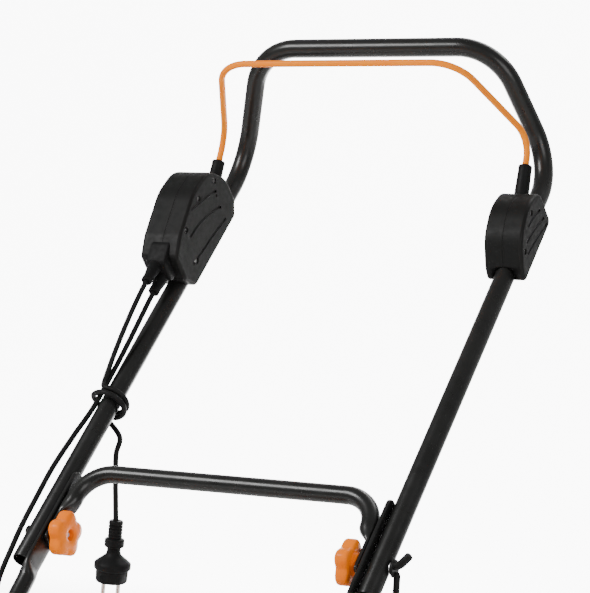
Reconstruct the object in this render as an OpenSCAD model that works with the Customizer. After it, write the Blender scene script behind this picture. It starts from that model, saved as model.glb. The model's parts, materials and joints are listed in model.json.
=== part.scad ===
// Corded push lawn mower with a folding tubular handle.
// Frame: +Z up, operator at +Y, front of the mower at -Y, operator's left at +X.
// Origin: ground level, in the middle of the mower's length and width.

/* [Handle] */
// Half the distance between the axes of the handle's legs
leg_x = 198; // [185:1:215]
// Outside diameter of the upper handle tube
upper_d = 22; // [20:0.5:24]
// Wall of all the handle tubes
tube_wall = 1.2; // [1:0.1:2]
// Length of a leg from its upper bend to its open end
leg_len = 640; // [630:5:680]
// Slope of the legs above the ground
leg_slope = 38.8; // [35:0.1:42]
// Distance from the handle's upper bend down to the clamping bolt
bolt_l = 600; // [590:1:605]
// Height of the upper bends above the ground
bend_z = 883; // [860:1:910]
// Distance of the upper bends behind the origin
bend_y = 635; // [620:1:650]
// Outside diameter of the lower tubes and the crossbar
lower_d = 19; // [18:0.5:20]
// Slope of the lower tubes above the ground
lower_slope = 41.5; // [40:0.1:43]
// Length of a lower tube from the bolt to its lower end
lower_len = 430; // [420:1:436]

/* [Bail] */
// Diameter of the bail's wire
bail_d = 7.6; // [6:0.1:8]
// Pivot distance down the leg from the upper bend
pivot_l = 125; // [124:0.5:126]
// Pivot distance in front of the leg's axis
pivot_off = 24; // [24:0.5:25]

/* [Boxes] */
// Outer face of the switch box, from the middle of the mower
switch_outer_x = 225; // [223:1:227]
// Inner face of both boxes, from the middle of the mower
box_inner_x = 176; // [175:1:177]
// Outer face of the pivot box, from the middle of the mower
pivot_outer_x = 221; // [219:1:223]
// Wall of the box shells
box_wall = 2.5; // [2:0.1:3]

/* [Deck] */
// Height of the cutting deck's lower rim above the ground
rim_z = 38; // [34:1:42]
// Height of the deck's top plate
deck_top = 150; // [146:1:152]
// Wall of the deck's skirts
deck_wall = 3.5; // [3:0.1:4.5]
// Distance of the blade's axis in front of the origin
blade_y = 365; // [363:1:367]
// Length of the blade, tip to tip
blade_len = 320; // [300:1:324]

/* [Wheels] */
// Radius of the front wheels
front_r = 75; // [72:1:76]
// Radius of the rear wheels
rear_r = 90; // [86:1:92]
// Distance of the front axle in front of the origin
front_axle_y = 550; // [548:1:552]
// Distance of the rear axle in front of the origin
rear_axle_y = 135; // [132:1:137]

/* [Cables] */
// Diameter of the mains cord and the motor cable
cord_d = 6; // [5.5:0.1:6.2]
// Angle of the plug's axis from straight down
plug_tilt = 6; // [0:1:8]

/* [Hidden] */
$fn = 64;

// ---- points in the leg's own frame: x across, off in front of the leg, l down the leg
function leg_point(x, off, l) = [
    x,
    bend_y - l * cos(leg_slope) - off * sin(leg_slope),
    bend_z - l * sin(leg_slope) + off * cos(leg_slope)
];
function flip(p, side) = [side * p.x, p.y, p.z];
function dir(a, b) = (b - a) / norm(b - a);

upper_r = upper_d / 2;
lower_r = lower_d / 2;
bail_r = bail_d / 2;
cord_r = cord_d / 2;
eps = 1;                 // overshoot of a cut past a face
body_gap = 0.4;          // clearance between two bodies
fit = 0.05;              // radial clearance of a shaft in its hole
bolt_r = 3;              // M6 handle bolts
flat_t = 5;              // thickness of a flattened tube end
flat_w = 27;             // width of a flattened tube end

// flattened ends stacked inwards from the leg
lower_flat_x = leg_x - upper_r - body_gap - flat_t / 2;
cross_flat_x = lower_flat_x - flat_t;
bolt_point = leg_point(leg_x, 0, bolt_l);

// handle: leg, upper bend, top corner
top_corner = [150, bend_y - 54, bend_z + 137];
handle_bend_r = 65;
handle_path = [
    leg_point(leg_x, 0, leg_len), leg_point(leg_x, 0, 0), top_corner,
    flip(top_corner, -1), leg_point(-leg_x, 0, 0), leg_point(-leg_x, 0, leg_len)
];
handle_bends = [0, handle_bend_r, handle_bend_r, handle_bend_r, handle_bend_r, 0];

// lower tubes: the flat runs with the leg, the round part is a little steeper
flat_top_l = 520;
flat_end_l = 643;
round_start = 60;        // from the bolt down to the first full circle
function lower_point(x, s, off = 0) = [
    x,
    bolt_point.y - s * cos(lower_slope) - off * sin(lower_slope),
    bolt_point.z - s * sin(lower_slope) + off * cos(lower_slope)
];

// crossbar
cross_l = 521;
cross_off = 10;
cross_corner_x = 172;
cross_bend_r = 36;
cross_round_l = 558;
cross_flat_l = 575;

// bail: pivot, boot bottom, boot top, kink, top corner
pivot_point = leg_point(leg_x - 2, pivot_off, pivot_l);
boot_low = [leg_x - 2, bend_y - 90, bend_z - 30];
boot_high = [leg_x - 3, bend_y - 75, bend_z + 4];
boot_reach = 8;          // how far a boot runs on past the bend into its box
bail_kink = [leg_x - 4, bend_y - 61, bend_z + 35];
bail_corner = [146, bend_y - 159, bend_z + 118];
bail_start = pivot_point + 5.5 * dir(pivot_point, boot_low);
bail_path = [
    bail_start, boot_low, boot_high, bail_kink, bail_corner,
    flip(bail_corner, -1), flip(bail_kink, -1), flip(boot_high, -1), flip(boot_low, -1),
    flip(bail_start, -1)
];
bail_bends = [0, 60, 60, 32, 46, 46, 32, 60, 60, 0];

// box outlines, points are [off, l]
switch_outline = [
    [-5, 92], [10, 80], [44, 80], [80, 106], [84, 150], [66, 206], [52, 228], [18, 228], [-5, 214]
];
switch_round = [6, 12, 40, 40, 60, 24, 8, 10, 8];
pivot_outline = [[44, 90], [54, 128], [40, 164], [10, 182], [-8, 185], [-7, 84]];
pivot_round = [20, 50, 40, 24, 6, 8];
hub_r = 10;
pin_r = 3;
gland_r = 5.8;
mains_gland = [-202, 47];
motor_gland = [-199, 30];
gland_start_l = 216;
gland_end_l = 264;
switch_screws = [[61, 104], [70, 146], [61, 191], [17, 195]];
pivot_screws = [[41, 124], [20, 164]];
button_at = [45, 158];
button_r = 9;
button_travel = 5;
button_x = 235;

// cables: [x, off, l] on the leg, then world points
mains_head = [
    [-202, 47, 264], [-202, 46, 280], [-203, 42, 305], [-205, 35, 332], [-207, 27, 358],
    [-208, 20, 380], [-207, 17, 396]
];
wrap_r = 17.8;           // the cord's axis from the leg's axis where it is wound over the cable
wrap_l = 404;
wrap_pitch = 8;
wrap_turns = 2;
wrap_steps = 8;
cable_angle = 137;       // where the wound cord crosses the motor cable
cable_lift = 3.6;        // how far the cord rises over it
mains_wrap = [
    for (i = [0 : wrap_turns * wrap_steps - 3])
        let (
            a = 100 - 360 * i / wrap_steps,
            r = wrap_r + cable_lift * pow(max(0, cos(a - cable_angle)), 4)
        )
        [-leg_x + r * cos(a), r * sin(a), wrap_l + wrap_pitch * i / wrap_steps]
];
mains_tail = [
    [-181, bend_y - 330, bend_z - 292], [-185, bend_y - 331, bend_z - 312],
    [-186, bend_y - 331, bend_z - 340], [-186, bend_y - 331, bend_z - 366],
    [-186, bend_y - 331, bend_z - 392]
];
plug_top = [-186, bend_y - 331, bend_z - 392];
pin_pitch = 19;
cable_head = [
    [-199, 30, 264], [-199, 29, 280], [-201, 24, 310], [-205, 16, 350], [-208, 11, 390],
    [-209, 9.5, 430], [-212, 11, 470], [-214, 13, 520], [-214, 12, 560], [-214, 10, 600],
    [-212, 8, 634]
];
cable_tail = [
    [-212, 62], [-206, 90], [-201, 125], [-198, 165], [-197, 220], [-197, 290], [-197, 325]
];
cable_run = [
    [-194, -109, 287], [-182, -160, 252], [-164, -207, 221], [-142, -252, 199], [-122, -290, 187],
    [-106, -312, 182]
];

// deck
chamber_r = 168;
axis_y = -blade_y;
tunnel_x = 88;
tunnel_low = 45;
tunnel_high = 134;
deck_rear = -110;
deck_front = -630.5;
socket_r = 13.5;
socket_len = 70;
flap_y = -103;
flap_z = 146;
motor_r = 58;
shaft_r = 6;
cover_profile = [[120, 150], [120, 162], [112, 226], [95, 262], [70, 276], [0, 280]];
cover_wall = 2.5;
cover_in = [for (p = cover_profile) [max(0, p[0] - cover_wall), p[1] > 150 ? p[1] - cover_wall : 149]];
cover_flange_r = 128;
cover_screw_r = 124;
carry_y = 72;
carry_z = 316;
front_x = [162, 198];
rear_x = [166, 206];
front_axle_r = 4;
rear_axle_r = 5;

// ---- shapes
module rod(a, b, r) {
    v = b - a;
    translate(a)
        rotate([0, acos(v.z / norm(v)), atan2(v.y, v.x)])
            cylinder(r = r, h = norm(v));
}

function bend_turn(p, i) = acos(dir(p[i - 1], p[i]) * dir(p[i], p[i + 1]));
function bend_trim(p, i, bends) =
    (i == 0 || i == len(p) - 1) ? 0 : bends[i] * tan(bend_turn(p, i) / 2);

module bend_arc(a, b, c, bend_r, r) {
    u = dir(a, b);
    w = dir(b, c);
    phi = acos(u * w);
    n = dir((w * u) * u, w);
    start = b - bend_r * tan(phi / 2) * u;
    centre = start + bend_r * n;
    e = cross(-n, u);
    multmatrix([
        [-n.x, u.x, e.x, centre.x], [-n.y, u.y, e.y, centre.y], [-n.z, u.z, e.z, centre.z]
    ])
        rotate_extrude(angle = phi)
            translate([bend_r, 0])
                circle(r);
}

// round bar along straight runs joined by bends; a run reaches into its bends a little,
// and a bend is a hair thicker than its runs, so that no two round faces coincide
run_reach = 0.2;
bend_step = 0.05;
module bent_rod(p, bends, r) {
    for (i = [0 : len(p) - 2]) {
        u = dir(p[i], p[i + 1]);
        t0 = i == 0 ? 0 : bend_trim(p, i, bends) - run_reach;
        t1 = i == len(p) - 2 ? 0 : bend_trim(p, i + 1, bends) - run_reach;
        rod(p[i] + t0 * u, p[i + 1] - t1 * u, r);
    }
    for (i = [1 : len(p) - 2])
        bend_arc(p[i - 1], p[i], p[i + 1], bends[i], r + bend_step);
}

// lengthens a path at both of its ends
function stretch(p, by) = [
    for (i = [0 : len(p) - 1])
        i == 0 ? p[0] - by * dir(p[0], p[1])
        : i == len(p) - 1 ? p[i] + by * dir(p[i - 1], p[i])
        : p[i]
];

module bent_tube(p, bends, r) {
    difference() {
        bent_rod(p, bends, r);
        bent_rod(stretch(p, eps), bends, r - tube_wall);
    }
}

// moves [x, off, l] onto the leg
module on_leg() {
    translate([0, bend_y, bend_z])
        rotate([90 + leg_slope, 0, 0])
            children();
}

// extrudes an [off, l] outline across the mower from x0 to x1
module slab(outline, x0, x1) {
    on_leg()
        translate([min(x0, x1), 0, 0])
            rotate([90, 0, 90])
                linear_extrude(abs(x1 - x0))
                    polygon(outline);
}

// cylinder across the mower at [off, l] on the leg
module cross_pin(at, x0, x1, r) {
    on_leg()
        translate([min(x0, x1), at[0], at[1]])
            rotate([0, 90, 0])
                cylinder(r = r, h = abs(x1 - x0));
}

module x_pin(y, z, x0, x1, r) {
    translate([min(x0, x1), y, z])
        rotate([0, 90, 0])
            cylinder(r = r, h = abs(x1 - x0));
}

// an outline with each corner replaced by an arc of its own radius
arc_steps = 5;
function arc_corner(a, b, c, r) =
    let (
        u = dir(b, a), w = dir(b, c),
        half = acos(u * w) / 2,
        reach = min(r / tan(half), 0.45 * norm(a - b), 0.45 * norm(c - b)),
        rr = reach * tan(half),
        mid = dir([0, 0], u + w),
        centre = b + mid * rr / sin(half),
        s = b + u * reach - centre,
        e = b + w * reach - centre,
        a0 = atan2(s[1], s[0]),
        turn = atan2(s[0] * e[1] - s[1] * e[0], s * e)
    )
    [
        for (k = [0 : arc_steps])
            let (a = a0 + turn * k / arc_steps)
            centre + rr * [cos(a), sin(a)]
    ];
function rounded(p, r) = [
    for (i = [0 : len(p) - 1])
        each arc_corner(p[(i + len(p) - 1) % len(p)], p[i], p[(i + 1) % len(p)], r[i])
];

// an outline moved inwards by d; its points run anticlockwise in [off, l]
function inset_point(a, b, c, d) =
    let (
        u = dir(a, b), w = dir(b, c),
        n = [u[1], -u[0]], m = [w[1], -w[0]],
        k = d / (1 + n * m)
    )
    b - k * (n + m);
function inset(p, d) = [
    for (i = [0 : len(p) - 1])
        inset_point(p[(i + len(p) - 1) % len(p)], p[i], p[(i + 1) % len(p)], d)
];

// smooth curve through a list of points
curve_steps = 3;
function curve_at(a, b, c, d, t) =
    0.5 * ((2 * b) + (c - a) * t + (2 * a - 5 * b + 4 * c - d) * t * t
        + (3 * b - a - 3 * c + d) * t * t * t);
function curve(p) = [
    for (i = [0 : len(p) - 2])
        let (a = p[max(i - 1, 0)], d = p[min(i + 2, len(p) - 1)])
        for (k = [0 : curve_steps - 1])
            curve_at(a, p[i], p[i + 1], d, k / curve_steps),
    p[len(p) - 1]
];

// round tube swept along a list of points
sweep_sides = 10;
module sweep(p, r) {
    n = len(p);
    t = [for (i = [0 : n - 1]) dir(p[max(i - 1, 0)], p[min(i + 1, n - 1)])];
    side0 = dir([0, 0, 0], cross(t[0], abs(t[0].x) > 0.9 ? [0, 1, 0] : [1, 0, 0]));
    sides = [
        for (i = 0, s = side0; i < n; i = i + 1, s = i < n ? dir((s * t[i]) * t[i], s) : s)
            s
    ];
    rings = [
        for (i = [0 : n - 1])
            for (k = [0 : sweep_sides - 1])
                p[i] + r * (cos(360 * k / sweep_sides) * sides[i]
                    + sin(360 * k / sweep_sides) * cross(t[i], sides[i]))
    ];
    walls = [
        for (i = [0 : n - 2])
            for (k = [0 : sweep_sides - 1])
                let (
                    a = i * sweep_sides + k,
                    b = i * sweep_sides + (k + 1) % sweep_sides
                )
                [a, a + sweep_sides, b + sweep_sides, b]
    ];
    start_cap = [for (k = [0 : sweep_sides - 1]) k];
    end_cap = [for (k = [sweep_sides - 1 : -1 : 0]) (n - 1) * sweep_sides + k];
    polyhedron(rings, concat(walls, [start_cap, end_cap]));
}

// ---- upper handle
module upper_handle_tube() {
    color("#1b1b1c")
        difference() {
            bent_tube(handle_path, handle_bends, upper_r);
            cross_pin([0, bolt_l], -leg_x - 2 * upper_r, leg_x + 2 * upper_r, bolt_r + fit);
        }
}

module bail_lever() {
    color("#f07a1a")
        bent_rod(bail_path, bail_bends, bail_r);
}

module bail_boot(side) {
    high = flip(boot_high, side);
    low = flip(boot_low, side) - boot_reach * dir(flip(boot_low, side), high);
    color("#222223")
        difference() {
            translate(low)
                multmatrix(frame_along(low, high))
                    cylinder(r1 = 8.6, r2 = 7.2, h = norm(high - low));
            bent_rod(bail_path, bail_bends, bail_r + fit);
        }
}
// rotation that takes +Z to the direction from a to b
function frame_along(a, b) =
    let (w = dir(a, b), u = dir([0, 0, 0], cross([1, 0, 0], w)), v = cross(w, u))
    [[u.x, v.x, w.x], [u.y, v.y, w.y], [u.z, v.z, w.z]];
module bail_boot_left() {
    bail_boot(1);
}
module bail_boot_right() {
    bail_boot(-1);
}

module bail_hub(side) {
    color("#d8d8d2")
        difference() {
            cross_pin([pivot_off, pivot_l], side * 189, side * 203, hub_r);
            cross_pin([pivot_off, pivot_l], side * 180, side * 212, pin_r + fit);
            bent_rod(bail_path, bail_bends, bail_r + fit);
        }
}
module bail_hub_left() {
    bail_hub(1);
}
module bail_hub_right() {
    bail_hub(-1);
}

module bail_pivot_pins() {
    color("silver") {
        cross_pin([pivot_off, pivot_l], -box_inner_x - box_wall, -switch_outer_x + box_wall, pin_r);
        cross_pin([pivot_off, pivot_l], box_inner_x + box_wall, pivot_outer_x - box_wall, pin_r);
    }
}

module bail_return_spring() {
    spring_r = 7;
    wire_r = 0.7;
    color("silver")
        for (i = [0 : 4])
            on_leg()
                translate([-205 - 1.3 * i, pivot_off, pivot_l])
                    rotate([0, 90, 0])
                        rotate_extrude()
                            translate([spring_r, 0])
                                circle(wire_r);
}

// ---- boxes on the legs
slot_back = 12.5;
function slot_front(side) = side > 0 ? 44.5 : 46.5;
slot_l = [60, 106];
slot_half = 10;
module bail_slot(side) {
    x0 = side * (leg_x - 2) - slot_half;
    slab([[slot_back, slot_l[0]], [slot_front(side), slot_l[0]], [slot_front(side), slot_l[1]],
        [slot_back, slot_l[1]]], x0, x0 + 2 * slot_half);
}

module leg_channel(side) {
    rod(leg_point(side * leg_x, 0, 0), leg_point(side * leg_x, 0, 300), upper_r + 0.02);
}

// half of a box between its parting plane at the leg and an outer face
module box_shell(outline, face_x, side) {
    split_x = side * leg_x;
    inward = face_x > split_x ? -1 : 1;
    edge = 3;
    difference() {
        union() {
            slab(outline, split_x, face_x + inward * edge);
            slab(inset(outline, edge / 2), split_x, face_x);
        }
        slab(inset(outline, box_wall + 0.5), split_x - inward * -eps, face_x + inward * box_wall);
        leg_channel(side);
        bail_slot(side);
    }
}

switch_edge = rounded(switch_outline, switch_round);
pivot_edge = rounded(pivot_outline, pivot_round);
box_screw_r = 1.8;

module holed_box(outline, face_x, side, screws, head_side) {
    split_x = side * leg_x;
    inward = face_x > split_x ? -1 : 1;
    difference() {
        union() {
            box_shell(outline, face_x, side);
            intersection() {
                slab(outline, split_x, face_x);
                for (p = screws)
                    cross_pin(p, face_x + inward * 1, split_x, 4.5);
            }
        }
        for (p = screws)
            cross_pin(p, head_side ? face_x - inward * eps : face_x + inward * 6,
                split_x + inward * eps, box_screw_r + fit);
        if (head_side)
            for (p = screws)
                cross_pin(p, face_x - inward * eps, face_x + inward * 4, 3.6);
        leg_channel(side);
        bail_slot(side);
        cross_pin([pivot_off, pivot_l], split_x, face_x + inward * box_wall, pin_r + fit);
    }
}

module switch_box_outer_shell() {
    color("#2a2a2b")
        difference() {
            holed_box(switch_edge, -switch_outer_x, -1, switch_screws, false);
            cross_pin(button_at, -leg_x - 5, -button_x, button_r + body_gap);
            gland_holes();
        }
}
module switch_box_inner_shell() {
    color("#2a2a2b")
        difference() {
            holed_box(switch_edge, -box_inner_x, -1, switch_screws, true);
            gland_holes();
        }
}
module gland_holes() {
    for (g = [mains_gland, motor_gland])
        rod(leg_point(g[0], g[1], gland_start_l - 2), leg_point(g[0], g[1], gland_end_l), gland_r + 0.02);
}
module pivot_box_outer_shell() {
    color("#2a2a2b")
        holed_box(pivot_edge, pivot_outer_x, 1, pivot_screws, true);
}
module pivot_box_inner_shell() {
    color("#2a2a2b")
        holed_box(pivot_edge, box_inner_x, 1, pivot_screws, false);
}

module box_screw(at, face_x, split_x) {
    inward = face_x > split_x ? -1 : 1;
    cross_pin(at, face_x + inward * 2, face_x + inward * 3.9, 3.4);
    cross_pin(at, face_x + inward * 3.9, split_x + inward * 10, box_screw_r);
}
module switch_box_screws() {
    color("silver")
        for (p = switch_screws)
            box_screw(p, -box_inner_x, -leg_x);
}
module pivot_box_screws() {
    color("silver")
        for (p = pivot_screws)
            box_screw(p, pivot_outer_x, leg_x);
}

module switch_unit() {
    color("#e8e4d8")
        slab([[28, 140], [56, 140], [56, 176], [28, 176]], -208, -186);
}

module safety_button() {
    color("#c8281e")
        difference() {
            union() {
                cross_pin(button_at, -216, -button_x + 2, button_r);
                cross_pin(button_at, -button_x + 2, -button_x, button_r - 1.5);
            }
            cross_pin(button_at, -216 + eps, -223, 6);
        }
}

module button_spring() {
    color("silver")
        for (i = [0 : 4])
            on_leg()
                translate([-208.8 - 1.5 * i, button_at[0], button_at[1]])
                    rotate([0, 90, 0])
                        rotate_extrude()
                            translate([5, 0])
                                circle(0.5);
}

module cable_glands() {
    color("#1c1c1d")
        for (g = [mains_gland, motor_gland])
            difference() {
                rod(leg_point(g[0], g[1], gland_start_l), leg_point(g[0], g[1], gland_end_l), gland_r);
                rod(leg_point(g[0], g[1], gland_start_l + 6), leg_point(g[0], g[1], gland_end_l + eps),
                    cord_r);
            }
}

// ---- clamp at the fold
module flat_plate(x, l0, l1, w) {
    slab(rounded([[-w / 2, l0], [w / 2, l0], [w / 2, l1], [-w / 2, l1]], [9, 9, 3, 3]),
        x - flat_t / 2, x + flat_t / 2);
}

// end of a flattened stretch, a little inside its plate, where it blends into the round tube
module flat_core(x, l0, l1, w) {
    slab([[-w / 2 + 0.1, l0], [w / 2 - 0.1, l0], [w / 2 - 0.1, l1], [-w / 2 + 0.1, l1]],
        x - flat_t / 2 + 0.1, x + flat_t / 2 - 0.1);
}

module lower_tube(side) {
    round_top = lower_point(side * lower_flat_x, round_start);
    round_end = lower_point(side * lower_flat_x, lower_len);
    d = dir(round_top, round_end);
    color("#1b1b1c")
        difference() {
            union() {
                flat_plate(side * lower_flat_x, flat_top_l, flat_end_l, flat_w);
                hull() {
                    flat_core(side * lower_flat_x, flat_end_l - 2, flat_end_l - 1, flat_w);
                    translate(round_top)
                        multmatrix(frame_along(round_top, round_end))
                            cylinder(r = lower_r - 0.2, h = 1, $fn = 32);
                }
                rod(round_top, round_end, lower_r);
            }
            rod(round_top + 12 * d, round_end + eps * d, lower_r - tube_wall);
            cross_pin([0, bolt_l], side * (lower_flat_x - 10), side * (lower_flat_x + 10), bolt_r + 0.02);
            rivet_hole(side);
            bracket_hole(side, 3.02);
        }
}
module lower_tube_left() {
    lower_tube(1);
}
module lower_tube_right() {
    lower_tube(-1);
}

rivet_at = [3, 577];
module rivet_hole(side) {
    cross_pin(rivet_at, side * (lower_flat_x - 12), side * (lower_flat_x + 12), 2.02);
}

module crossbar() {
    corner = leg_point(cross_corner_x, cross_off, cross_l);
    turn_end = leg_point(cross_corner_x, cross_off - 4, cross_round_l);
    path = [turn_end, corner, flip(corner, -1), flip(turn_end, -1)];
    bends = [0, cross_bend_r, cross_bend_r, 0];
    color("#1b1b1c")
        difference() {
            union() {
                bent_rod(path, bends, lower_r);
                for (side = [-1, 1]) {
                    flat_plate(side * cross_flat_x, cross_flat_l, 614, flat_w - 2);
                    hull() {
                        flat_core(side * cross_flat_x, cross_flat_l + 1, cross_flat_l + 8, flat_w - 2);
                        translate(flip(turn_end, side))
                            multmatrix(frame_along(flip(turn_end, side), flip(corner, side)))
                                cylinder(r = lower_r - 0.2, h = 1, $fn = 32);
                    }
                }
            }
            bent_rod(path, bends, lower_r - tube_wall);
            for (side = [-1, 1])
                cross_pin([0, bolt_l], side * (cross_flat_x - 14), side * (cross_flat_x + 5), bolt_r + 0.02);
            rivet_hole(1);
            rivet_hole(-1);
            for (side = [-1, 1])
                cross_pin(rivet_at, side * (cross_flat_x - 14), side * (cross_flat_x - flat_t / 2), 4.3);
        }
}

module crossbar_rivets() {
    color("silver")
        for (side = [-1, 1]) {
            cross_pin(rivet_at, side * (cross_flat_x - flat_t / 2), side * (lower_flat_x + flat_t / 2), 2);
            cross_pin(rivet_at, side * (cross_flat_x - flat_t / 2 - 1.5),
                side * (cross_flat_x - flat_t / 2), 4);
        }
}

knob_face_x = 157;
knob_back_x = cross_flat_x - flat_t / 2 - body_gap;
module knob(side) {
    lobes = 5;
    color("#f58220")
        difference() {
            union() {
                cross_pin([0, bolt_l], side * knob_face_x, side * (knob_back_x - 4), 20);
                for (i = [0 : lobes - 1]) {
                    a = 360 * i / lobes + 20;
                    cross_pin([17.5 * cos(a), bolt_l + 17.5 * sin(a)],
                        side * knob_face_x, side * (knob_back_x - 4), 7.5);
                }
                cross_pin([0, bolt_l], side * (knob_back_x - 4), side * knob_back_x, 12);
            }
            cross_pin([0, bolt_l], side * (knob_face_x - eps), side * (knob_back_x + eps), bolt_r + fit);
            knob_nut_space(side, 0);
        }
}
module knob_nut_space(side, gap) {
    on_leg()
        translate([side * 166.5, 0, bolt_l])
            rotate([0, 90, 0])
                cylinder(r = 5.8 - gap, h = 5 - gap, center = true, $fn = 6);
}
module knob_left() {
    knob(1);
}
module knob_right() {
    knob(-1);
}
module knob_nut(side) {
    color("silver")
        difference() {
            knob_nut_space(side, 0.1);
            cross_pin([0, bolt_l], side * 160, side * 173, bolt_r + fit);
        }
}
module knob_nut_left() {
    knob_nut(1);
}
module knob_nut_right() {
    knob_nut(-1);
}

bolt_head_x = leg_x + upper_r + body_gap;
module handle_bolts() {
    color("silver")
        for (side = [-1, 1]) {
            cross_pin([0, bolt_l], side * 161, side * bolt_head_x, bolt_r);
            cross_pin([0, bolt_l], side * bolt_head_x, side * (bolt_head_x + 2.4), 6);
        }
}

// two curved prongs under the left bolt's head that hold a cable off the ground
module cord_hook() {
    x0 = bolt_head_x + 2.4;
    up = [
        leg_point(x0, 4, bolt_l), leg_point(x0 + 9, 6, bolt_l), leg_point(x0 + 20, 15, bolt_l - 6)
    ];
    down = [
        leg_point(x0, -2, bolt_l), leg_point(x0 + 4, -6, bolt_l + 4), leg_point(x0 + 2, -34, bolt_l + 27)
    ];
    color("#1f1f20")
        difference() {
            union() {
                cross_pin([0, bolt_l], x0 - 1, x0 + 3, 9);
                bent_rod(up, [0, 9, 0], 4.2);
                bent_rod(down, [0, 4.5, 0], 3.4);
            }
            cross_pin([0, bolt_l], x0 - 15, x0, 20);
        }
}

// ---- free cord, its plug and the cable to the motor
function on_leg_points(p) = [for (q = p) leg_point(q[0], q[1], q[2])];
mains_route = concat(on_leg_points(mains_head), on_leg_points(mains_wrap), mains_tail);
module mains_cord() {
    color("#2b2b2b")
        sweep(curve(mains_route), cord_r);
}

// places children with +Z along the plug's axis, away from the cord
module at_plug() {
    translate(plug_top)
        rotate([180, 0, 0])
            rotate([0, -plug_tilt, 0])
                children();
}
module plug_body() {
    profile = [
        [cord_r, -6], [7.6, -6], [8, 4], [8, 14], [11, 15], [11, 23], [7.6, 25], [8, 31], [13, 36],
        [20.5, 42], [20.5, 48], [18.3, 50], [17.6, 62], [16, 63.5], [0, 63.5], [0, 0], [cord_r, 0]
    ];
    color("#262627")
        at_plug()
            difference() {
                rotate_extrude()
                    polygon(profile);
                for (side = [-1, 1])
                    translate([side * 24 - 8, -10, 51])
                        cube([16, 20, 20]);
            }
}
module plug_pins() {
    color("silver")
        at_plug()
            for (side = [-1, 1])
                translate([side * pin_pitch / 2, 0, 63.5])
                    cylinder(r = 2.4, h = 19);
}

module motor_cable_upper() {
    color("#262627")
        sweep(curve(on_leg_points(cable_head)), cord_r);
}
module motor_cable_lower() {
    route = concat([for (q = cable_tail) lower_point(q[0], q[1], 6)], cable_run);
    color("#262627")
        sweep(curve(route), cord_r);
}
module cable_clips() {
    color("#1c1c1d")
        for (s = [170, 300])
            difference() {
                union() {
                    rod(lower_point(-lower_flat_x, s), lower_point(-lower_flat_x, s + 14), lower_r + 2);
                    rod(lower_point(-197.5, s, 6), lower_point(-197.5, s + 14, 6), cord_r + 2.6);
                }
                rod(lower_point(-lower_flat_x, s - eps), lower_point(-lower_flat_x, s + 15), lower_r + 0.02);
                rod(lower_point(-197.5, s - eps, 6), lower_point(-197.5, s + 15, 6), cord_r + 1);
            }
}

// ---- deck and motor
module deck_plan(d) {
    translate([0, axis_y])
        circle(178 - d);
    translate([-150 + d, deck_front + 40])
        square([300 - 2 * d, 225]);
    translate([-110 + d, deck_front + d])
        square([220 - 2 * d, 60]);
    for (side = [-1, 1])
        translate([side * 110, deck_front + 40])
            circle(40 - d);
    translate([-156 + d, axis_y])
        square([312 - 2 * d, deck_rear - axis_y - d]);
}

module socket_line(side, r, s0, s1) {
    rod(lower_point(side * lower_flat_x, s0), lower_point(side * lower_flat_x, s1), r);
}

module bracket_hole(side, r) {
    p = lower_point(side * lower_flat_x, lower_len - 35);
    x_pin(p.y, p.z, side * 160, side * 206, r);
}

module deck_shell() {
    color("#f07d1d")
        difference() {
            union() {
                difference() {
                    translate([0, 0, rim_z])
                        linear_extrude(deck_top - rim_z)
                            deck_plan(0);
                    translate([0, 0, rim_z - eps])
                        linear_extrude(deck_top - deck_wall - rim_z + eps)
                            deck_plan(deck_wall);
                }
                translate([0, axis_y, rim_z])
                    difference() {
                        cylinder(r = chamber_r + deck_wall, h = deck_top - rim_z - 1);
                        translate([0, 0, -eps])
                            cylinder(r = chamber_r, h = deck_top - rim_z - deck_wall + eps);
                    }
                for (side = [-1, 1]) {
                    translate([side * (tunnel_x + deck_wall / 2) - deck_wall / 2, axis_y + 142, rim_z])
                        cube([deck_wall, deck_rear - axis_y - 143, deck_top - rim_z - 1]);
                    x_pin(-rear_axle_y, rear_r, side * (tunnel_x + 1), side * 159, 10);
                    x_pin(-front_axle_y, front_r, side * 118, side * 153, 9);
                    hinge_ear(side);
                    deck_bracket(side);
                }
            }
            translate([-tunnel_x, axis_y, tunnel_low])
                cube([2 * tunnel_x, deck_rear - axis_y + eps, tunnel_high - tunnel_low]);
            translate([0, axis_y, deck_top - 20])
                cylinder(r = 20, h = 40);
            x_pin(-front_axle_y, front_r, -160, 160, front_axle_r + 0.02);
            for (side = [-1, 1]) {
                x_pin(-rear_axle_y, rear_r, side * 100, side * 165, rear_axle_r + 0.02);
                socket_line(side, lower_r + 0.02, lower_len - socket_len - eps, lower_len);
                bracket_hole(side, 3.02);
            }
            x_pin(flap_y, flap_z, -100, 100, 2.52);
            cover_screw_holes(1.7);
        }
}

module hinge_ear(side) {
    difference() {
        union() {
            x_pin(flap_y, flap_z, side * 89, side * 95, 5);
            translate([side > 0 ? 89 : -95, deck_rear - 1, flap_z - 5])
                cube([6, flap_y - deck_rear + 1, 9]);
        }
    }
}

module deck_bracket(side) {
    top = lower_point(side * lower_flat_x, lower_len - socket_len);
    end = lower_point(side * lower_flat_x, lower_len);
    socket_line(side, socket_r, lower_len - socket_len, lower_len + 4);
    difference() {
        translate([side > 0 ? 140 : -172, 0, 0])
            rotate([90, 0, 90])
                linear_extrude(32)
                    polygon([
                        [end.y - 30, deck_top - 2], [end.y - 12, end.z + 4], [top.y - 4, top.z + 4],
                        [top.y + 8, top.z - 8], [deck_rear, 190], [deck_rear - 1, deck_top - 2]
                    ]);
        translate([side > 0 ? 161 : -181, -rear_axle_y - 100, 100])
            cube([20, 200, 86]);
    }
}

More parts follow.
